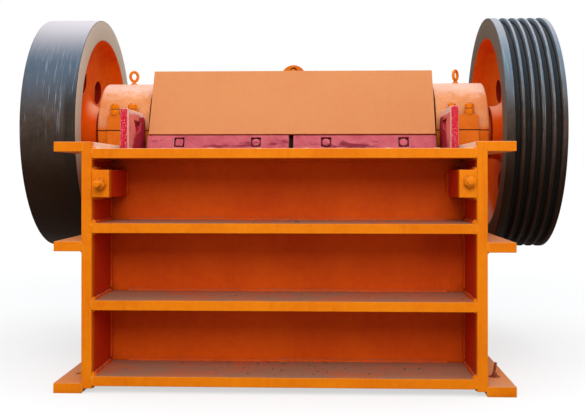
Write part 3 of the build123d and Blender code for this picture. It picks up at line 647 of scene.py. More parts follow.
def finish_piece(name, mesh, body, material, smooth_degrees=PLAIN_CREASE):
    """Links a mesh as a piece that rides on a body and has a finish."""
    mesh.materials.clear()
    mesh.materials.append(material)
    mesh.shade_smooth()
    mesh.set_sharp_from_angle(angle=math.radians(smooth_degrees))
    piece = bpy.data.objects.new(name, mesh)
    bpy.context.scene.collection.objects.link(piece)
    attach(piece, body)
    return piece


def axes_for(direction):
    """Three unit vectors at right angles, the last one along the direction."""
    along = np.array(direction, float)
    along /= np.linalg.norm(along)
    helper = np.array([0.0, 0.0, 1.0]) if abs(along[2]) < 0.9 else np.array([1.0, 0.0, 0.0])
    side = np.cross(helper, along)
    side /= np.linalg.norm(side)
    return side, np.cross(along, side), along


def turned_surface(origin, direction, stations, radii, columns=48):
    """Surface of revolution: at each station along the axis, a ring of that radius.

    A radius may be a single number or one number for each angle of the ring.
    """
    side, up, along = axes_for(direction)
    angle = np.linspace(0, 2 * math.pi, columns, endpoint=False)
    radius = np.array([np.broadcast_to(value, (columns,)) for value in radii])
    ring = radius[:, :, None] * (np.cos(angle)[:, None] * side + np.sin(angle)[:, None] * up)
    return np.array(origin) + np.array(stations)[:, None, None] * along + ring


# %% [markdown]
# The plates of the CAD model have knife edges. Rolled and flame-cut steel has not, and light catches
# on the small round. A copy of each node is merged, freed of the triangles inside its flat faces, and
# bevelled by a modifier; the copy then stands for the node. The flat chamfer on the housings' ends is
# filled out first, so that a true quarter round can take its place.

# %% Rounded copies of the CAD nodes
EDGE_LIMIT_DEGREES = 32.0
FLAT_DEGREES = 0.6


def read_points(mesh):
    points = np.empty(len(mesh.vertices) * 3)
    mesh.vertices.foreach_get("co", points)
    return points.reshape(-1, 3)


def mark_wide_edges(mesh, rings):
    """Gives full bevel weight to the edges that lie on a ring about the shaft, told by |X| and radius."""
    points = read_points(mesh)
    radius = np.hypot(points[:, 1] - SHAFT_Y, points[:, 2] - SHAFT_Z)
    ends = np.empty(len(mesh.edges) * 2, int)
    mesh.edges.foreach_get("vertices", ends)
    ends = ends.reshape(-1, 2)
    weight = np.zeros(len(mesh.edges))
    for ring_x, ring_r in rings:
        near = (np.abs(np.abs(points[:, 0]) - ring_x) < 1e-3) & (np.abs(radius - ring_r) < 1e-3)
        weight[near[ends].all(axis=1)] = 1.0
    mesh.attributes.new("bevel_weight_edge", "FLOAT", "EDGE").data.foreach_set("value", weight)


def fill_out_chamfer(mesh, end_x, outer_r, chamfer):
    """Moves the points of a 45 degree chamfer out to the full radius: there |X| + radius is constant."""
    points = read_points(mesh)
    across = points[:, 1:] - (SHAFT_Y, SHAFT_Z)
    radius = np.linalg.norm(across, axis=1)
    outward = np.abs(points[:, 0])
    on_cone = (np.abs(outward + radius - (end_x + outer_r - chamfer)) < 1e-3) & (outward > end_x - chamfer)
    points[on_cone, 1:] = (SHAFT_Y, SHAFT_Z) + across[on_cone] * (outer_r / radius[on_cone])[:, None]
    mesh.vertices.foreach_set("co", points.ravel())


def rounded_copy(node, suffix, body, material, width, wide_rings=(), wide_width=0.0, chamfered_end=()):
    """A copy of a CAD node with its edges rounded by Bevel modifiers, some of them wide."""
    mesh = NODES[node].data.copy()
    if chamfered_end:
        fill_out_chamfer(mesh, *chamfered_end)
    work = bmesh.new()
    work.from_mesh(mesh)
    bmesh.ops.remove_doubles(work, verts=work.verts, dist=1e-6)
    flat = math.radians(FLAT_DEGREES)
    bmesh.ops.dissolve_limit(work, angle_limit=flat, verts=work.verts, edges=work.edges)
    work.to_mesh(mesh)
    work.free()
    if chamfered_end and "custom_normal" in mesh.attributes:
        mesh.attributes.remove(mesh.attributes["custom_normal"])
    piece = finish_piece(f"{node}_{suffix}", mesh, body, material)
    if wide_rings:
        mark_wide_edges(mesh, wide_rings)
        wide = piece.modifiers.new("wide_round", "BEVEL")
        wide.width = wide_width
        wide.segments = 4
        wide.limit_method = "WEIGHT"
    bevel = piece.modifiers.new("edges", "BEVEL")
    bevel.width = width
    bevel.segments = 2
    bevel.limit_method = "ANGLE"
    bevel.angle_limit = math.radians(EDGE_LIMIT_DEGREES)
    bevel.harden_normals = True
    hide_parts(node)
    return piece


SIDES = ("left", "right")
SIGNS = (-1, 1)
PLATE_NODES = ["front_wall", "rear_wall", "toggle_beam", "toggle_plate"]
PLATE_NODES += [f"front_rib_{place}" for place in ("top", "upper", "lower", "bottom")]
PLATE_NODES += [f"rear_rib_{place}" for place in ("upper", "lower")]
SIDE_PLATE_NODES = ("side_plate", "top_flange", "side_rib", "foot", "side_gussets", "bolt_block")
PLATE_NODES += [f"{kind}_{side}" for kind in SIDE_PLATE_NODES for side in SIDES]

for node in PLATE_NODES:
    rounded_copy(node, "plate", "frame", FRAME_PAINT, width=0.0022)
HOUSING_CHAMFER = 0.027
HOUSING_ROUND = 0.011
for side in SIDES:
    for part in ("base", "cap"):
        rounded_copy(
            f"bearing_{part}_{side}",
            "casting",
            "frame",
            CASTING_PAINT,
            width=0.003,
            wide_rings=((HOUSING_END, HOUSING_R),),
            wide_width=HOUSING_ROUND,
            chamfered_end=(HOUSING_END, HOUSING_R, HOUSING_CHAMFER),
        )
    rounded_copy(f"cheek_plate_{side}", "liner", "frame", CHEEK_PRIMER, width=0.0035)
    rounded_copy(f"fixed_jaw_plate_{side}", "liner", "frame", JAW_PRIMER, width=0.003)
    rounded_copy(f"moving_jaw_plate_{side}", "liner", "pitman", JAW_PRIMER, width=0.003)
rounded_copy("swing_jaw", "casting", "pitman", CASTING_PAINT, width=0.004)
rounded_copy("lifting_lug", "plate", "pitman", CASTING_PAINT, width=0.002)
rounded_copy("jaw_cover", "sheet", "pitman", COVER_PAINT, width=0.0015)
rounded_copy("eccentric_shaft", "forging", "rotor", SHAFT_STEEL, width=0.003)
print("rounded copies", len(PLATE_NODES) + 14)

# %% [markdown]
# The wheels are turned castings, so they are worked out again with the founder's full rounds. The
# section is an outline whose corners turn into arcs: each arc's centre lies on the corner's bisector,
# and its points go from one tangent point to the other at an even angle.

# %% Rounded section of a wheel


def unit(vector):
    return vector / np.linalg.norm(vector)


def rounded_outline(corners):
    """Points of an outline given by (along, radius, round): an arc at each corner, none at the ends."""
    places = np.array([corner[:2] for corner in corners], float)
    points = [places[:1]]
    for before, corner, after, (_, _, rounding) in zip(places, places[1:], places[2:], corners[1:-1]):
        to_before, to_after = unit(before - corner), unit(after - corner)
        half = math.acos(np.clip(to_before @ to_after, -1, 1)) / 2
        centre = corner + unit(to_before + to_after) * rounding / math.sin(half)
        first = corner + to_before * rounding / math.tan(half) - centre
        last = corner + to_after * rounding / math.tan(half) - centre
        sweep = math.pi - 2 * half
        steps = max(3, int(rounding * sweep / 0.006))
        share = np.linspace(0, 1, steps + 1)[:, None]
        arc = (first * np.sin((1 - share) * sweep) + last * np.sin(share * sweep)) / math.sin(sweep)
        points.append(centre + arc)
    points.append(places[-1:])
    return np.concatenate(points)


WHEEL_FACE = 0.884
WHEEL_WIDTH = {"left": 0.232, "right": 0.248}
WEB_AT_RIM = {"left": 0.064, "right": 0.084}
WEB_AT_HUB = {"left": 0.092, "right": 0.104}
WEB_THICK = 0.034
HUB_R = 0.121
HUB_FROM, HUB_TO = 0.018, 0.208
SHAFT_BORE_R = 0.0753
HUB_FLARE = 0.066
RIM_ROUND = 0.054
SMALL_ROUND = 0.003
HOLE_ROUND = 0.005
HOLES = 6
HOLE_START_DEGREES = 54.0
HOLE_FIELD = (0.190, 0.320)
SIDE_STEPS = 24
GROOVE_FIRST, GROOVE_PITCH, GROOVE_COUNT = 0.050, 0.041, 5
GROOVE_TOP, GROOVE_ROOT, GROOVE_DEPTH = 0.032, 0.017, 0.024
LIP_ROUND, ROOT_ROUND, BORE_ROUND = 0.0015, 0.003, 0.002


def web_along(side, radius):
    """Distance of the web's inner face from the rim's face: a straight line from hub to rim."""
    share = (radius - HUB_R) / (RIM_INNER_R - HUB_R)
    return WEB_AT_HUB[side] + (WEB_AT_RIM[side] - WEB_AT_HUB[side]) * share


def rim_outline(side):
    low = HOLE_FIELD[1]
    width = WHEEL_WIDTH[side]
    corners = [(web_along(side, low), low, 0)]
    corners += [(WEB_AT_RIM[side], RIM_INNER_R, RIM_ROUND)]
    corners += [(0, RIM_INNER_R, SMALL_ROUND), (0, WHEEL_R, SMALL_ROUND)]
    if side == "right":
        root_r = WHEEL_R - GROOVE_DEPTH
        lip, root = GROOVE_TOP / 2, GROOVE_ROOT / 2
        for groove in range(GROOVE_COUNT):
            middle = GROOVE_FIRST + groove * GROOVE_PITCH
            corners += [(middle - lip, WHEEL_R, LIP_ROUND), (middle - root, root_r, ROOT_ROUND)]
            corners += [(middle + root, root_r, ROOT_ROUND), (middle + lip, WHEEL_R, LIP_ROUND)]
    corners += [(width, WHEEL_R, SMALL_ROUND), (width, RIM_INNER_R, SMALL_ROUND)]
    corners += [(WEB_AT_RIM[side] + WEB_THICK, RIM_INNER_R, RIM_ROUND)]
    corners += [(web_along(side, low) + WEB_THICK, low, 0)]
    return rounded_outline(corners)


def hub_outline(side):
    high = HOLE_FIELD[0]
    corners = [(web_along(side, high) + WEB_THICK, high, 0), (WEB_AT_HUB[side] + WEB_THICK, HUB_R, HUB_FLARE)]
    corners += [(HUB_TO, HUB_R, SMALL_ROUND), (HUB_TO, SHAFT_BORE_R, BORE_ROUND)]
    corners += [(HUB_FROM, SHAFT_BORE_R, BORE_ROUND)]
    corners += [(HUB_FROM, HUB_R, SMALL_ROUND), (WEB_AT_HUB[side], HUB_R, HUB_FLARE)]
    corners += [(web_along(side, high), high, 0)]
    return rounded_outline(corners)


print("rim section", len(rim_outline("right")), "points; hub section", len(hub_outline("right")))

# %% [markdown]
# Each of the six holes has a field of its own, a piece of the web sixty degrees wide. A field is a
# square bent round the wheel with a circle in it: every point goes in a straight line from the circle
# to the square's border, and the same points walk through the hole and out over the far side.

# %% Fields round the web holes


def square_border(steps):
    """Walks round the border of the square from -1 to 1, the same number of steps on each side."""
    run = np.linspace(-1, 1, steps, endpoint=False)
    one = np.ones(steps)
    across = np.concatenate([run, one, -run, -one])
    upward = np.concatenate([-one, run, one, -run])
    return across, upward


def hole_field(side, number):
    """Grid from the border of one field, down to its hole, through it and out on the other face."""
    across, upward = square_border(SIDE_STEPS)
    middle_angle = math.radians(HOLE_START_DEGREES + 360 / HOLES * number)
    low, high = HOLE_FIELD
    border_r = low + (high - low) * (upward + 1) / 2
    border_angle = middle_angle + math.pi / HOLES * across
    border = np.stack([border_r * np.cos(border_angle), border_r * np.sin(border_angle)], axis=-1)
    outward = np.array([math.cos(middle_angle), math.sin(middle_angle)])
    sideways = np.array([-math.sin(middle_angle), math.cos(middle_angle)])
    length = np.hypot(across, upward)[:, None]
    ray = (across[:, None] * sideways + upward[:, None] * outward) / length
    quarter = np.linspace(0, math.pi / 2, 5)
    face_share = np.linspace(1, 0, 8)
    lip = HOLE_CIRCLE_R * outward + (HOLE_R + HOLE_ROUND) * ray
    plane = [lip + share * (border - lip) for share in face_share]
    sink = [0.0] * len(plane)
    for angle in quarter[1:]:
        plane.append(lip - HOLE_ROUND * math.sin(angle) * ray)
        sink.append(HOLE_ROUND * (1 - math.cos(angle)))
    near_plane, near_sink = np.array(plane), np.array(sink)
    plane = np.concatenate([near_plane, near_plane[::-1]])
    radius = np.linalg.norm(plane, axis=-1)
    face = web_along(side, radius)
    count = len(near_sink)
    face[:count] += near_sink[:, None]
    face[count:] += WEB_THICK - near_sink[::-1, None]
    return face, plane


def on_wheel(side, along, plane):
    """Places on the shaft's axis: along it from the wheel's inner face, and across it as (Y, Z)."""
    sign = -1 if side == "left" else 1
    x = sign * (WHEEL_FACE + along)
    return np.stack([x, SHAFT_Y + plane[..., 0], SHAFT_Z + plane[..., 1]], axis=-1)


def turned_round(side, outline):
    """The outline carried round the shaft, its columns in step with the fields' borders."""
    columns = HOLES * SIDE_STEPS
    start = math.radians(HOLE_START_DEGREES) - math.pi / HOLES
    angle = start + np.linspace(0, 2 * math.pi, columns, endpoint=False)
    around = np.stack([np.cos(angle), np.sin(angle)], axis=-1)
    plane = outline[:, 1][:, None, None] * around
    along = np.broadcast_to(outline[:, 0][:, None], plane.shape[:2])
    return on_wheel(side, along, plane)


for side, node in (("left", "flywheel"), ("right", "sheave")):
    grids = [turned_round(side, rim_outline(side)), turned_round(side, hub_outline(side))]
    grids += [on_wheel(side, *hole_field(side, number)) for number in range(HOLES)]
    piece = make_piece(f"{node}_turned", grids, "rotor", WHEEL_IRON, smooth_degrees=38.0)
    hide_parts(node)

# %% [markdown]
# The plates are joined by fillet welds. A bead is a rounded triangle in the corner of two plates,
# carried along the joint. Its size swells a little with each drop of the electrode, and the swelling
# lags at the sides, which gives the crescent ripples. Both ends taper to a point and close the shape.

# %% Weld beads
RIPPLE = 0.0085
BEAD_STEP = 0.0028
BEAD_SINK = 0.0006
BEAD_COLUMNS = 7


def weld_bead(start, end, first_side, second_side, leg, seed):
    """Fillet weld from start to end, in the corner between two directions.

    Across: leg * (cos a ** 1.35, sin a ** 1.35). Along: the size swells by a wave of one ripple's
    length, whose phase lags with sin 2a, and wanders by two slow waves set by the seed.
    """
    start, end = np.array(start, float), np.array(end, float)
    length = np.linalg.norm(end - start)
    rows = max(8, int(length / BEAD_STEP))
    along = np.linspace(0, length, rows)[:, None]
    angle = np.linspace(0, math.pi / 2, BEAD_COLUMNS)[None, :]
    phase = np.random.default_rng(seed).uniform(0, 2 * math.pi, 3)
    lag = 0.4 * np.sin(2 * angle)
    ripple = 0.12 * np.sin(2 * math.pi * (along / RIPPLE - lag) + phase[0])
    wander = 0.14 * np.sin(along * 37 + phase[1]) + 0.12 * np.sin(along * 101 + phase[2])
    taper = np.sqrt(np.clip(np.minimum(along, length - along) / leg, 0, 1))
    size = leg * taper * (1 + ripple + wander)
    across = size * np.cos(angle) ** 1.35
    upward = size * np.sin(angle) ** 1.35
    corner = np.zeros((rows, 1))
    across = np.concatenate([corner, across], axis=1)[:, :, None] - BEAD_SINK
    upward = np.concatenate([corner, upward], axis=1)[:, :, None] - BEAD_SINK
    middle = start + (end - start) * (along / length)
    return middle[:, None, :] + across * np.array(first_side) + upward * np.array(second_side)


def low_high(node):
    low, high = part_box(node)
    return np.array(low), np.array(high)


WALL_LOW, WALL_HIGH = low_high("front_wall")
RIB_BOXES = {place: low_high(f"front_rib_{place}") for place in ("top", "upper", "lower", "bottom")}
INNER_X = WALL_HIGH[0]
FRONT_Y = RIB_BOXES["top"][0][1]
WALL_Y = WALL_LOW[1]
UP, DOWN, FORWARD, BACKWARD = (0, 0, 1), (0, 0, -1), (0, -1, 0), (0, 1, 0)
RIB_TOP_GAP = 0.062
BEAD_GAP = 0.006
FRONT_INSET = 0.004
CORNER_INSET = 0.002
REAR_INSET = 0.003
GUSSET_GAP = 0.01
FLUSH_INSET = 0.001
CORNER_STOP_END = 0.040
GUSSET_THICK = 0.030
FRONT_LEG, CORNER_LEG, BLOCK_LEG, PLAIN_LEG = 0.0085, 0.014, 0.011, 0.0075


def weld_beads(joints, leg, first_seed):
    """A bead for each joint, which has a start, an end and the two directions that the bead fills."""
    return [weld_bead(*joint, leg, first_seed + number) for number, joint in enumerate(joints)]


def front_joints():
    """Round each front bay: rib to wall, rib to side plate, wall to side plate."""
    for low, high in RIB_BOXES.values():
        for z, upright in ((high[2], UP), (low[2], DOWN)):
            reach = INNER_X - (RIB_TOP_GAP if upright is UP else BEAD_GAP)
            yield (-reach, WALL_Y, z), (reach, WALL_Y, z), FORWARD, upright
            for sign in SIGNS:
                x = sign * INNER_X
                yield (x, FRONT_Y + FRONT_INSET, z), (x, WALL_Y, z), (-sign, 0, 0), upright
    levels = [RIB_BOXES[place] for place in ("bottom", "lower", "upper", "top")]
    for (_, under), (over, _) in zip(levels[:-1], levels[1:]):
        for sign in SIGNS:
            x = sign * INNER_X
            start, end = (x, WALL_Y, under[2] + BEAD_GAP), (x, WALL_Y, over[2] - FRONT_INSET)
            yield start, end, (-sign, 0, 0), FORWARD


def corner_joints():
    """Where a rib's top meets the side plate at the front: short thick stops, lumpy and scraped."""
    for place in ("upper", "lower", "bottom"):
        z = RIB_BOXES[place][1][2]
        for sign in SIGNS:
            x = sign * INNER_X
            yield (x, FRONT_Y + CORNER_INSET, z), (x, FRONT_Y + CORNER_STOP_END, z), (-sign, 0, 0), UP


def block_joints():
    """Round the bolt blocks, with heavier, lumpier beads."""
    for side, sign in zip(SIDES, SIGNS):
        low, high = low_high(f"bolt_block_{side}")
        inner = low[0] if sign > 0 else high[0]
        x = sign * INNER_X
        inward = (-sign, 0, 0)
        for z, upright in ((high[2], UP), (low[2], DOWN)):
            yield (x, FRONT_Y + CORNER_INSET, z), (x, WALL_Y, z), inward, upright
            yield (inner, WALL_Y, z), (x, WALL_Y, z), upright, FORWARD
        yield (inner, WALL_Y, low[2]), (inner, WALL_Y, high[2]), inward, FORWARD


def outer_joints():
    """Flanges, ribs, feet and stiffeners on the outside of the side plates."""
    for side, sign in zip(SIDES, SIGNS):
        plate_low, plate_high = low_high(f"side_plate_{side}")
        x = plate_high[0] if sign > 0 else plate_low[0]
        outward = (sign, 0, 0)
        rib_low, rib_high = low_high(f"side_rib_{side}")
        flange_low, flange_high = low_high(f"top_flange_{side}")
        _, foot_high = low_high(f"foot_{side}")
        levels = [(rib_high, rib_high[2], UP), (rib_high, rib_low[2], DOWN)]
        levels += [(foot_high, foot_high[2], UP), (flange_high, flange_low[2], DOWN)]
        for extent, z, upright in levels:
            yield (x, FRONT_Y + FRONT_INSET, z), (x, extent[1] - FRONT_INSET, z), outward, upright
        for low_z, high_z in ((foot_high[2], rib_low[2]), (rib_high[2], flange_low[2])):
            for y, facing in gusset_faces(side):
                yield (x, y, low_z + GUSSET_GAP), (x, y, high_z - GUSSET_GAP), outward, facing


def gusset_faces(side):
    """Y of the front and rear face of each stiffener, with the direction that the face looks."""
    low, high = low_high(f"side_gussets_{side}")
    half = GUSSET_THICK / 2
    middles = (low[1] + half, (low[1] + high[1]) / 2, high[1] - half)
    faces = [(middle - half, FORWARD) for middle in middles]
    return faces + [(middle + half, BACKWARD) for middle in middles]


def rear_joints():
    """The rear wall and its two ribs."""
    wall_low, wall_high = low_high("rear_wall")
    y = wall_high[1]
    for place in ("upper", "lower"):
        low, high = low_high(f"rear_rib_{place}")
        for z, upright in ((high[2], UP), (low[2], DOWN)):
            yield (-INNER_X, y, z), (INNER_X, y, z), BACKWARD, upright
            for sign in SIGNS:
                x = sign * INNER_X
                yield (x, y, z), (x, high[1] - REAR_INSET, z), (-sign, 0, 0), upright
    for sign in SIGNS:
        x = sign * INNER_X
        yield (x, y, wall_low[2]), (x, y, wall_high[2]), (-sign, 0, 0), BACKWARD


def flush_bead(start, end, seed, width=0.010, height=0.0013):
    """Flat weld over a butt joint: across it width / 2 * cos a, out of it height * sin a, a from 0 to pi."""
    start, end = np.array(start, float), np.array(end, float)
    length = np.linalg.norm(end - start)
    rows = max(8, int(length / BEAD_STEP))
    along = np.linspace(0, length, rows)[:, None]
    angle = np.linspace(0, math.pi, BEAD_COLUMNS)[None, :]
    phase = np.random.default_rng(seed).uniform(0, 2 * math.pi, 2)
    swell = 1 + 0.15 * np.sin(2 * math.pi * along / RIPPLE + phase[0]) + 0.12 * np.sin(along * 90 + phase[1])
    taper = np.sqrt(np.clip(np.minimum(along, length - along) / (0.3 * width), 0, 1))
    aside = (width / 2 * taper * swell * np.cos(angle))[:, :, None]
    proud = (height * taper * swell * np.sin(angle))[:, :, None] - BEAD_SINK
    middle = start + (end - start) * (along / length)
    return middle[:, None, :] + aside * np.array([1, 0, 0]) + proud * np.array(FORWARD)


def flush_beads(first_seed):
    """Flat beads over the joints that show on the machine's front: rib ends, flanges, side ribs, feet."""
    joints = [(INNER_X, low[2], high[2]) for low, high in RIB_BOXES.values()]
    outer_x = low_high("side_plate_right")[1][0]
    for kind in ("top_flange", "side_rib", "foot"):
        low, high = low_high(f"{kind}_right")
        joints.append((outer_x, low[2], high[2]))
    beads = []
    for x, low_z, high_z in joints:
        for sign in SIGNS:
            start = (sign * x, FRONT_Y, low_z + FLUSH_INSET)
            end = (sign * x, FRONT_Y, high_z - FLUSH_INSET)
            beads.append(flush_bead(start, end, first_seed + len(beads)))
    return beads


front_beads = weld_beads(front_joints(), FRONT_LEG, 0) + weld_beads(corner_joints(), CORNER_LEG, 30)
for name, beads in {
    "front_weld_beads": front_beads + flush_beads(300),
    "block_weld_beads": weld_beads(block_joints(), BLOCK_LEG, 50),
    "outer_weld_beads": weld_beads(outer_joints(), PLAIN_LEG, 100),
    "rear_weld_beads": weld_beads(rear_joints(), PLAIN_LEG, 200),
}.items():
    make_piece(name, beads, "frame", FRAME_PAINT, ROUND_CREASE)

# %% [markdown]
# Nuts, washers and studs are all surfaces of revolution, and a nut's rings are hexagons. Its corners
# are cut by a cone at both ends: each ring takes the smaller of the hexagon's radius and the cone's.
# A thread is a helix, so its radius depends on the station along the stud and on the angle.

# %% Nuts, washers and studs


def hexagon_radius(across_flats, columns=48, turn=0.0):
    """Radius of a hexagon at each angle: half the flats' distance over the cosine from a flat's middle."""
    angle = np.linspace(0, 2 * math.pi, columns, endpoint=False) + turn
    from_flat = np.mod(angle, math.pi / 3) - math.pi / 6
    return across_flats / 2 / np.cos(from_flat)


def hex_nut(origin, direction, across_flats, thickness, bore_r, turn=0.0):
    """Hexagon nut with both faces chamfered, standing on the origin."""
    hexagon = hexagon_radius(across_flats, turn=turn)
    corner = across_flats / 2 / math.cos(math.pi / 6)
    cut = 0.10 * thickness
    face = 0.485 * across_flats
    stations = [0, 0, cut * 0.5, cut, thickness - cut, thickness - cut * 0.5, thickness, thickness, 0]
    cones = [face, face, (face + corner) / 2, corner, corner, (face + corner) / 2, face]
    rings = [np.minimum(hexagon, cone) for cone in cones]
    rings[0] = bore_r
    return turned_surface(origin, direction, stations, rings + [bore_r, bore_r])


def washer(origin, direction, radius, thickness, bore_r):
    """Flat ring with a small round on its outer edges."""
    soft = 0.25 * thickness
    stations = [0, 0, soft, thickness - soft, thickness, thickness, 0]
    radii = [bore_r, radius - soft, radius, radius, radius - soft, bore_r, bore_r]
    return turned_surface(origin, direction, stations, radii)


def threaded_stud(origin, direction, radius, length, pitch):
    """Stud with a helical thread: a triangular wave of station over pitch less the turn cuts the radius."""
    columns = 32
    rows = int(length / pitch * 5)
    station = np.linspace(0, length, rows)
    turn = np.arange(columns) / columns
    wave = np.abs(np.mod(station[:, None] / pitch - turn[None, :], 1.0) * 2 - 1)
    body = radius - 0.55 * pitch * wave
    chamfer = np.clip((length - station) / (0.7 * pitch), 0, 1)[:, None]
    body = body * (0.86 + 0.14 * chamfer)
    stations = np.concatenate([[0], station, [length + 0.04 * radius, length + 0.05 * radius]])
    radii = [0.0] + list(body) + [radius * 0.55, 0.0]
    return turned_surface(origin, direction, stations, radii, columns)


NUT_JOINT = 0.0022
BOLT_PITCH = 0.003


def bolt_set(origin, direction, across_flats, thread_r, nuts, tip, washer_t, turn):
    """Washer, one or more nuts and the stud's end above them, as grids."""
    origin, direction = np.array(origin, float), np.array(direction, float)
    grids = [washer(origin, direction, 0.62 * across_flats, washer_t, thread_r * 0.9)]
    height = washer_t
    for number, thickness in enumerate(nuts):
        start = origin + direction * height
        grids.append(hex_nut(start, direction, across_flats, thickness, thread_r * 0.9, turn + 0.12 * number))
        height += thickness + NUT_JOINT
    grids.append(threaded_stud(origin, direction, thread_r, height + tip, BOLT_PITCH))
    return grids


# %% [markdown]
# Each bearing cap is held by four studs through its ears, with two nuts locked against each other.
# The front pair shows in the photograph; the rear pair repeats it.

# %% Bearing bolts
EAR_BOLT_X = {"left": (0.708, 0.788), "right": (0.701, 0.780)}
EAR_BOLT_INSET = 0.017
EAR_NUT_ACROSS = 0.036
EAR_STUD_R = 0.012
EAR_TOP = 1.042
EAR_NUTS = (0.021, 0.021)
EAR_TIP, EAR_WASHER_THICK = 0.004, 0.0035

for side, sign in zip(SIDES, SIGNS):
    cap_low, cap_high = low_high(f"bearing_cap_{side}")
    grids = []
    for number, x in enumerate(EAR_BOLT_X[side]):
        for y in (cap_low[1] + EAR_BOLT_INSET, cap_high[1] - EAR_BOLT_INSET):
            top = (sign * x, y, EAR_TOP)
            turn = math.pi / 6 + 0.1 * number
            grids += bolt_set(top, UP, EAR_NUT_ACROSS, EAR_STUD_R, EAR_NUTS, EAR_TIP, EAR_WASHER_THICK, turn)
    make_piece(f"bearing_nuts_{side}", grids, "frame", FRAME_PAINT, NUT_CREASE)

# %% [markdown]
# The blocks under the mouth carry one bolt each. Washer, nut and thread are rebuilt finely in place of
# the plain bolts, where the photograph shows them: the right one is a little nearer the middle.

# %% Block bolts
BLOCK_BOLT_AT = {"left": (-0.649, 0.743), "right": (0.654, 0.752)}
BLOCK_BOLT_REACH = {"left": 0.066, "right": 0.034}
BLOCK_BOLT_TURN = {"left": 0.15, "right": 0.6}
BLOCK_NUT_ACROSS, BLOCK_NUT_THICK, BLOCK_STUD_R = 0.036, 0.019, 0.0125
BLOCK_TIP_FROM = 0.0245
BLOCK_WASHER_THICK = 0.004
grids = []
for side in SIDES:
    x, z = BLOCK_BOLT_AT[side]
    tip = BLOCK_BOLT_REACH[side] - BLOCK_TIP_FROM - NUT_JOINT
    nut = (BLOCK_NUT_ACROSS, BLOCK_STUD_R, (BLOCK_NUT_THICK,))
    grids += bolt_set((x, FRONT_Y, z), FORWARD, *nut, tip, BLOCK_WASHER_THICK, BLOCK_BOLT_TURN[side])
piece = make_piece("block_bolts_threaded", grids, "frame", FRAME_PAINT, NUT_CREASE)
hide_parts("block_bolts")

# %% [markdown]
# A ring bolt is a ring on a short neck with a collar. The ring is a little taller than it is wide: a
# point follows an ellipse, and a small circle follows that point.

# %% Eye bolts


def ring_grid(centre, turn_degrees, half_width, half_height, bar_r, rows=64, columns=20):
    """Ring that stands upright, turned about Z: the ellipse (w cos a, h sin a) plus bar_r (cos b, sin b)."""
    round_ring = np.linspace(0, 2 * math.pi, rows)[:, None]
    round_bar = np.linspace(0, 2 * math.pi, columns, endpoint=False)[None, :]
    across = (half_width + bar_r * np.cos(round_bar)) * np.cos(round_ring)
    upward = (half_height + bar_r * np.cos(round_bar)) * np.sin(round_ring)
    through = bar_r * np.sin(round_bar) + 0 * round_ring
    turn = math.radians(turn_degrees)
    x = across * math.cos(turn) - through * math.sin(turn)
    y = across * math.sin(turn) + through * math.cos(turn)
    return np.stack([x, y, upward], axis=-1) + np.array(centre)


EYE_TURN = {"left": 28.0, "right": 50.0}
EYE_HALF_WIDTH, EYE_HALF_HEIGHT, EYE_BAR_R = 0.0178, 0.0216, 0.0067
EYE_COLLAR_R, EYE_NECK_R, EYE_RING_FROM = 0.0135, 0.0085, 0.0095
NECK_STATIONS = [0, 0, 0.004, 0.0055, 0.006, 0.0125, 0.0125]
NECK_RADII = [0.0, EYE_COLLAR_R, EYE_COLLAR_R, EYE_COLLAR_R - 0.001, EYE_NECK_R, EYE_NECK_R, 0.0]
for side in SIDES:
    low, high = low_high(f"eye_bolt_{side}")
    x, y, _ = (low + high) / 2
    neck = turned_surface((x, y, low[2]), UP, NECK_STATIONS, NECK_RADII)
    centre = (x, y, low[2] + EYE_RING_FROM + EYE_BAR_R + EYE_HALF_HEIGHT)
    ring = ring_grid(centre, EYE_TURN[side], EYE_HALF_WIDTH, EYE_HALF_HEIGHT, EYE_BAR_R)
    piece = make_piece(f"eye_bolt_{side}_forging", [neck, ring], "frame", FRAME_PAINT)
    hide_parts(f"eye_bolt_{side}")

# %% [markdown]
# The pin that the sling was hooked on is still in the jaw's lifting lug. It is thinner than its hole
# and hangs in it, so a dark crescent is left above it, closed at the back by the pin's head.

# %% Lug pin
LUG_HOLE_X, LUG_HOLE_Z, LUG_HOLE_R = 0.0, 1.261, 0.016
PIN_R = 0.0132
PIN_HEAD_R = 0.020
PIN_HEAD_THICK = 0.006
PIN_ROUND = 0.001
PIN_ASIDE, PIN_LIFT = 0.0012, 0.0004
lug_low, lug_high = low_high("lifting_lug")
pin_end = lug_high[1] - lug_low[1]
head_end = pin_end + PIN_HEAD_THICK
pin_z = LUG_HOLE_Z - (LUG_HOLE_R - PIN_R) + PIN_LIFT
pin = turned_surface(
    (LUG_HOLE_X - PIN_ASIDE, lug_low[1] + PIN_ROUND, pin_z),
    BACKWARD,
    [0, 0, PIN_ROUND, pin_end, pin_end, head_end - PIN_ROUND, head_end, head_end],
    [0.0, PIN_R - PIN_ROUND, PIN_R, PIN_R, PIN_HEAD_R, PIN_HEAD_R, PIN_HEAD_R - PIN_ROUND, 0.0],
)
make_piece("lug_pin", [pin], "pitman", FRAME_PAINT, NUT_CREASE)

# %% [markdown]
# The jaw plates are held by bolts whose heads lie in square pockets. A head is a rounded square or a
# round; both are surfaces of revolution whose rings are superellipses.

# %% Jaw bolts
POCKET_X = (-0.485, -0.152, 0.152, 0.485)
POCKET_FLOOR_Y = -0.0273
POCKET_FLOOR_Z = 0.9112
JAW_FRONT = (0.0, -0.9461, 0.3240)
JAW_HEAD_HALF = 0.0170
SQUARE_POWER, ROUND_POWER = 7.0, 2.3
HEAD_SHARES = [0.0, 1.0, 1.0, 0.96, 0.86, 0.45, 0.0]
HEAD_HEIGHTS = [0.0, 0.0, 0.0175, 0.0198, 0.0208, 0.0213, 0.0214]


def superellipse_radius(half_width, power, columns=48):
    """Radius at each angle of the curve where the powers of both coordinates add up to one."""
    angle = np.linspace(0, 2 * math.pi, columns, endpoint=False) + math.pi / columns
    return half_width / (np.abs(np.cos(angle)) ** power + np.abs(np.sin(angle)) ** power) ** (1 / power)


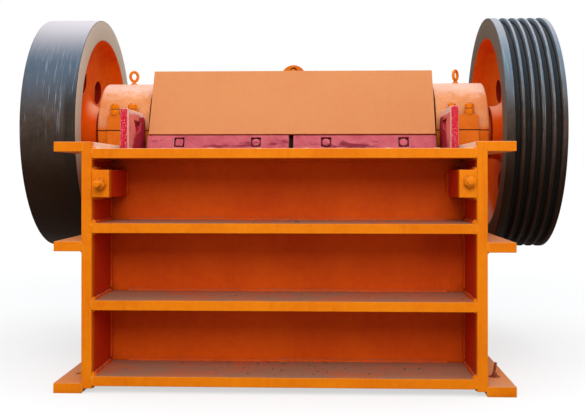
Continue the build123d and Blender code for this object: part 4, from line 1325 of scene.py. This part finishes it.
grids = []
for number, x in enumerate(POCKET_X):
    outline = superellipse_radius(JAW_HEAD_HALF, SQUARE_POWER if number == 0 else ROUND_POWER)
    rings = [outline * share for share in HEAD_SHARES]
    grids.append(turned_surface((x, POCKET_FLOOR_Y, POCKET_FLOOR_Z), JAW_FRONT, HEAD_HEIGHTS, rings))
make_piece("jaw_bolt_heads", grids, "pitman", JAW_PRIMER, smooth_degrees=50.0)

# %% [markdown]
# The toggle is held in its seats by two rods, and a spring behind the rear wall keeps each rod taut.
# The spring is a helix of round bar whose end turns lie flat: the rise slows down at both ends.

# %% Rods and springs


def coil_grid(centre_x, centre_z, start_y, length, coil_r, bar_r, turns, per_turn=40, columns=12):
    """Helix of round bar along Y. The rise follows a curve that is flat over the first and last turn."""
    count = int(turns * per_turn)
    share = np.linspace(0, 1, count)
    end = 1.0 / turns
    ramp = np.clip((share - end * 0.9) / (1 - 1.8 * end), 0, 1)
    y = start_y + bar_r + (length - 2 * bar_r) * ramp
    angle = share * turns * 2 * math.pi
    outward = np.stack([np.cos(angle), np.zeros(count), np.sin(angle)], axis=-1)
    middle = np.array([centre_x, 0, centre_z]) + outward * coil_r
    middle[:, 1] += y
    ring = np.linspace(0, 2 * math.pi, columns, endpoint=False)
    thickness = np.full(count, bar_r)
    thickness[[0, -1]] = 0.0
    around = thickness[:, None, None] * (
        np.cos(ring)[None, :, None] * outward[:, None, :] + np.sin(ring)[None, :, None] * np.array([0, 1, 0])
    )
    return middle[:, None, :] + around


ROD_R = 0.019
ROD_BORE_R = 0.018
ROD_THREAD_FROM = 0.80
ROD_THREAD_PITCH = 0.004
ROD_EYE_R, ROD_EYE_THICK, ROD_EYE_ROUND = 0.036, 0.034, 0.002
ROD_NUT_ACROSS, ROD_NUT_THICK = 0.060, 0.034
SPRING_WASHER_R, SPRING_WASHER_THICK = 0.054, 0.016
SPRING_R, SPRING_BAR_R, SPRING_TURNS = 0.037, 0.0105, 6.5
EYE_STATIONS = [0, 0, ROD_EYE_ROUND, ROD_EYE_THICK - ROD_EYE_ROUND, ROD_EYE_THICK, ROD_EYE_THICK]
EYE_FACE_R = ROD_EYE_R - ROD_EYE_ROUND
for side in SIDES:
    low, high = low_high(f"rod_spring_{side}")
    x, _, z = (low + high) / 2
    coil = coil_grid(x, z, low[1], high[1] - low[1], SPRING_R, SPRING_BAR_R, SPRING_TURNS)
    piece = make_piece(f"rod_spring_{side}_coil", [coil], "frame", SPRING_STEEL, ROUND_CREASE)
    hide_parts(f"rod_spring_{side}")
    rod_low, rod_high = low_high(f"tension_rod_{side}")
    eye_y = rod_low[1] + ROD_EYE_R
    plain = ROD_THREAD_FROM - eye_y
    rod = turned_surface((x, eye_y, z), BACKWARD, [0, 0, plain, plain], [0.0, ROD_R, ROD_R, 0.0], 32)
    threaded = rod_high[1] - ROD_THREAD_FROM - 0.002
    thread = threaded_stud((x, ROD_THREAD_FROM, z), BACKWARD, ROD_R, threaded, ROD_THREAD_PITCH)
    eye_radii = [0.0, EYE_FACE_R, ROD_EYE_R, ROD_EYE_R, EYE_FACE_R, 0.0]
    eye = turned_surface((x - ROD_EYE_THICK / 2, eye_y, z), (1, 0, 0), EYE_STATIONS, eye_radii)
    seat = washer((x, high[1], z), BACKWARD, SPRING_WASHER_R, SPRING_WASHER_THICK, ROD_BORE_R)
    grids = [rod, thread, eye, seat]
    for nut in range(2):
        start = (x, high[1] + SPRING_WASHER_THICK + nut * ROD_NUT_THICK, z)
        turn = 0.2 + 0.3 * nut
        grids.append(hex_nut(start, BACKWARD, ROD_NUT_ACROSS, ROD_NUT_THICK, ROD_BORE_R, turn))
    piece = make_piece(f"tension_rod_{side}_threaded", grids, "frame", SHAFT_STEEL, NUT_CREASE)
    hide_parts(f"tension_rod_{side}")

# %% [markdown]
# One small bolt still stands in the right foot's front hole, bent outwards and rusty, on a flat washer.

# %% Foot bolt
FOOT_BOLT_AT = np.array([0.770, -0.587, 0.035])
LEAN = (0.16, -0.05, 1.0)
FOOT_WASHER_R, FOOT_WASHER_THICK, FOOT_BORE_R = 0.0205, 0.003, 0.004
FOOT_NUT_ACROSS, FOOT_NUT_THICK = 0.019, 0.011
FOOT_STUD_R, FOOT_STUD_LENGTH, FOOT_STUD_PITCH = 0.0052, 0.053, 0.002
nut_at = FOOT_BOLT_AT + (0, 0, FOOT_WASHER_THICK)
stud_at = FOOT_BOLT_AT + (-0.004, 0, 0.001)
foot_bolt = [
    washer(FOOT_BOLT_AT, UP, FOOT_WASHER_R, FOOT_WASHER_THICK, FOOT_BORE_R),
    hex_nut(nut_at, UP, FOOT_NUT_ACROSS, FOOT_NUT_THICK, FOOT_BORE_R, 0.2),
    threaded_stud(stud_at, LEAN, FOOT_STUD_R, FOOT_STUD_LENGTH, FOOT_STUD_PITCH),
]
make_piece("foot_bolt", foot_bolt, "frame", RUSTY_STEEL, NUT_CREASE)

# %% [markdown]
# Chips of stone lie on three shelves, most of them on the lowest. Each is a ball of a few faces whose
# points are pushed in and out at random, flattened and set on the shelf.

# %% Stone chips


def chip_grid(centre, radius, random):
    """Small lumpy ball: rows from pole to pole, each point's radius drawn at random."""
    rows, columns = 5, 7
    height = np.linspace(-math.pi / 2, math.pi / 2, rows)[:, None]
    turn = np.linspace(0, 2 * math.pi, columns, endpoint=False)[None, :]
    size = radius * random.uniform(0.7, 1.15, (rows, columns))
    size[0], size[-1] = size[0, 0], size[-1, 0]
    upward = 0.6 * np.sin(height) + 0 * turn
    ball = np.stack([np.cos(height) * np.cos(turn), np.cos(height) * np.sin(turn), upward], axis=-1)
    return np.array(centre) + ball * size[:, :, None]


CHIP_MIDDLE, CHIP_SPREAD, CHIP_REACH = 0.12, 0.28, 0.64
CHIP_SMALLEST, CHIP_LARGEST = 0.0015, 0.006
random = np.random.default_rng(7)
chips = []
for place, count in (("bottom", 70), ("lower", 26), ("upper", 14)):
    low, high = RIB_BOXES[place]
    across = random.normal(CHIP_MIDDLE, CHIP_SPREAD, count)
    depth = random.uniform(FRONT_Y + 0.03, WALL_Y - 0.02, count)
    for x, y, size in zip(across, depth, random.gamma(2.0, 0.0009, count)):
        radius = min(CHIP_SMALLEST + size, CHIP_LARGEST)
        centre = (np.clip(x, -CHIP_REACH, CHIP_REACH), y, high[2] + 0.3 * radius)
        chips.append(chip_grid(centre, radius, random))
make_piece("stone_chips", chips, "frame", STONE_GREY, smooth_degrees=20.0)

# %% [markdown]
# The floor is pale and runs on to the horizon. The camera, mirrors and glass see it nearly white, and
# it keeps the machine's shadow close by; for other light it is a mid tone, as a yard's ground is, so
# it throws little light on undersides. Its own glow grows with the distance and joins the backdrop.

# %% Floor and backdrop
FLOOR_HALF = 60.0


def background_rays(tree):
    """One for rays that show the background: from the camera, a mirror or glass."""
    path = add_node(tree, "ShaderNodeLightPath").outputs
    seen = Field(path["Is Camera Ray"]).math("MAXIMUM", Field(path["Is Glossy Ray"]))
    return seen.math("MAXIMUM", Field(path["Is Transmission Ray"]))


def diffuse(tree, color):
    return field(tree, "ShaderNodeBsdfDiffuse", {"Color": color})


def floor_finish():
    material = bpy.data.materials.new("pale_floor")
    material.use_nodes = True
    tree = material.node_tree
    tree.nodes.clear()
    distance = field(tree, "ShaderNodeVectorMath", {0: object_place(tree)}, "Value", operation="LENGTH")
    far = distance.ramp(1.6, 5.0)
    glow = field(tree, "ShaderNodeEmission", {"Color": WHITE, "Strength": far * 0.40 + 0.62})
    tones = {0: far, 1: diffuse(tree, (0.33, 0.33, 0.33, 1)), 2: diffuse(tree, (0, 0, 0, 1))}
    shown = field(tree, "ShaderNodeAddShader", {0: field(tree, "ShaderNodeMixShader", tones), 1: glow})
    choice = {0: background_rays(tree), 1: diffuse(tree, (0.30, 0.29, 0.28, 1)), 2: shown}
    add_node(tree, "ShaderNodeOutputMaterial", {"Surface": field(tree, "ShaderNodeMixShader", choice)})
    return material


corners = [(-1, -1), (1, -1), (1, 1), (-1, 1)]
floor_mesh = bpy.data.meshes.new("floor")
floor_mesh.from_pydata([(x * FLOOR_HALF, y * FLOOR_HALF, 0) for x, y in corners], [], [(0, 1, 2, 3)])
floor_mesh.materials.append(floor_finish())
floor = bpy.data.objects.new("floor", floor_mesh)
bpy.context.scene.collection.objects.link(floor)
print("floor", floor.name)

# %% [markdown]
# The machine stood under an open, bright sky: tops are light, undersides nearly dark. The world gives
# that with a slow change from below the horizon to the zenith. Two large lamps add a soft key from the
# front and above, and light on the tops.

# %% Sky and lamps


def sky():
    world = bpy.data.worlds.new("sky")
    world.use_nodes = True
    tree = world.node_tree
    tree.nodes.clear()
    height = split(field(tree, "ShaderNodeTexCoord", output="Generated"))[2]
    daylight = {"Color": (0.93, 0.97, 1.0, 1), "Strength": height.ramp(-0.8, 0.9, 0.05, 0.95)}
    light = field(tree, "ShaderNodeBackground", daylight)
    shown = field(tree, "ShaderNodeBackground", {"Color": WHITE, "Strength": 1.0})
    either = field(tree, "ShaderNodeMixShader", {0: background_rays(tree), 1: light, 2: shown})
    add_node(tree, "ShaderNodeOutputWorld", {"Surface": either})
    return world


def soft_lamp(name, place, target, power, size):
    """A square area lamp that looks at a target."""
    lamp_data = bpy.data.lights.new(name, "AREA")
    lamp_data.energy = power
    lamp_data.size = size
    lamp = bpy.data.objects.new(name, lamp_data)
    lamp.location = place
    lamp.rotation_euler = (Vector(target) - Vector(place)).to_track_quat("-Z", "Y").to_euler()
    bpy.context.scene.collection.objects.link(lamp)
    return lamp


bpy.context.scene.world = sky()
soft_lamp("key_lamp", place=(0.2, -5.0, 3.4), target=(0, 0, 0.6), power=190.0, size=3.0)
soft_lamp("top_lamp", place=(0.3, 0.2, 4.6), target=(0, 0.2, 0.8), power=60.0, size=3.0)
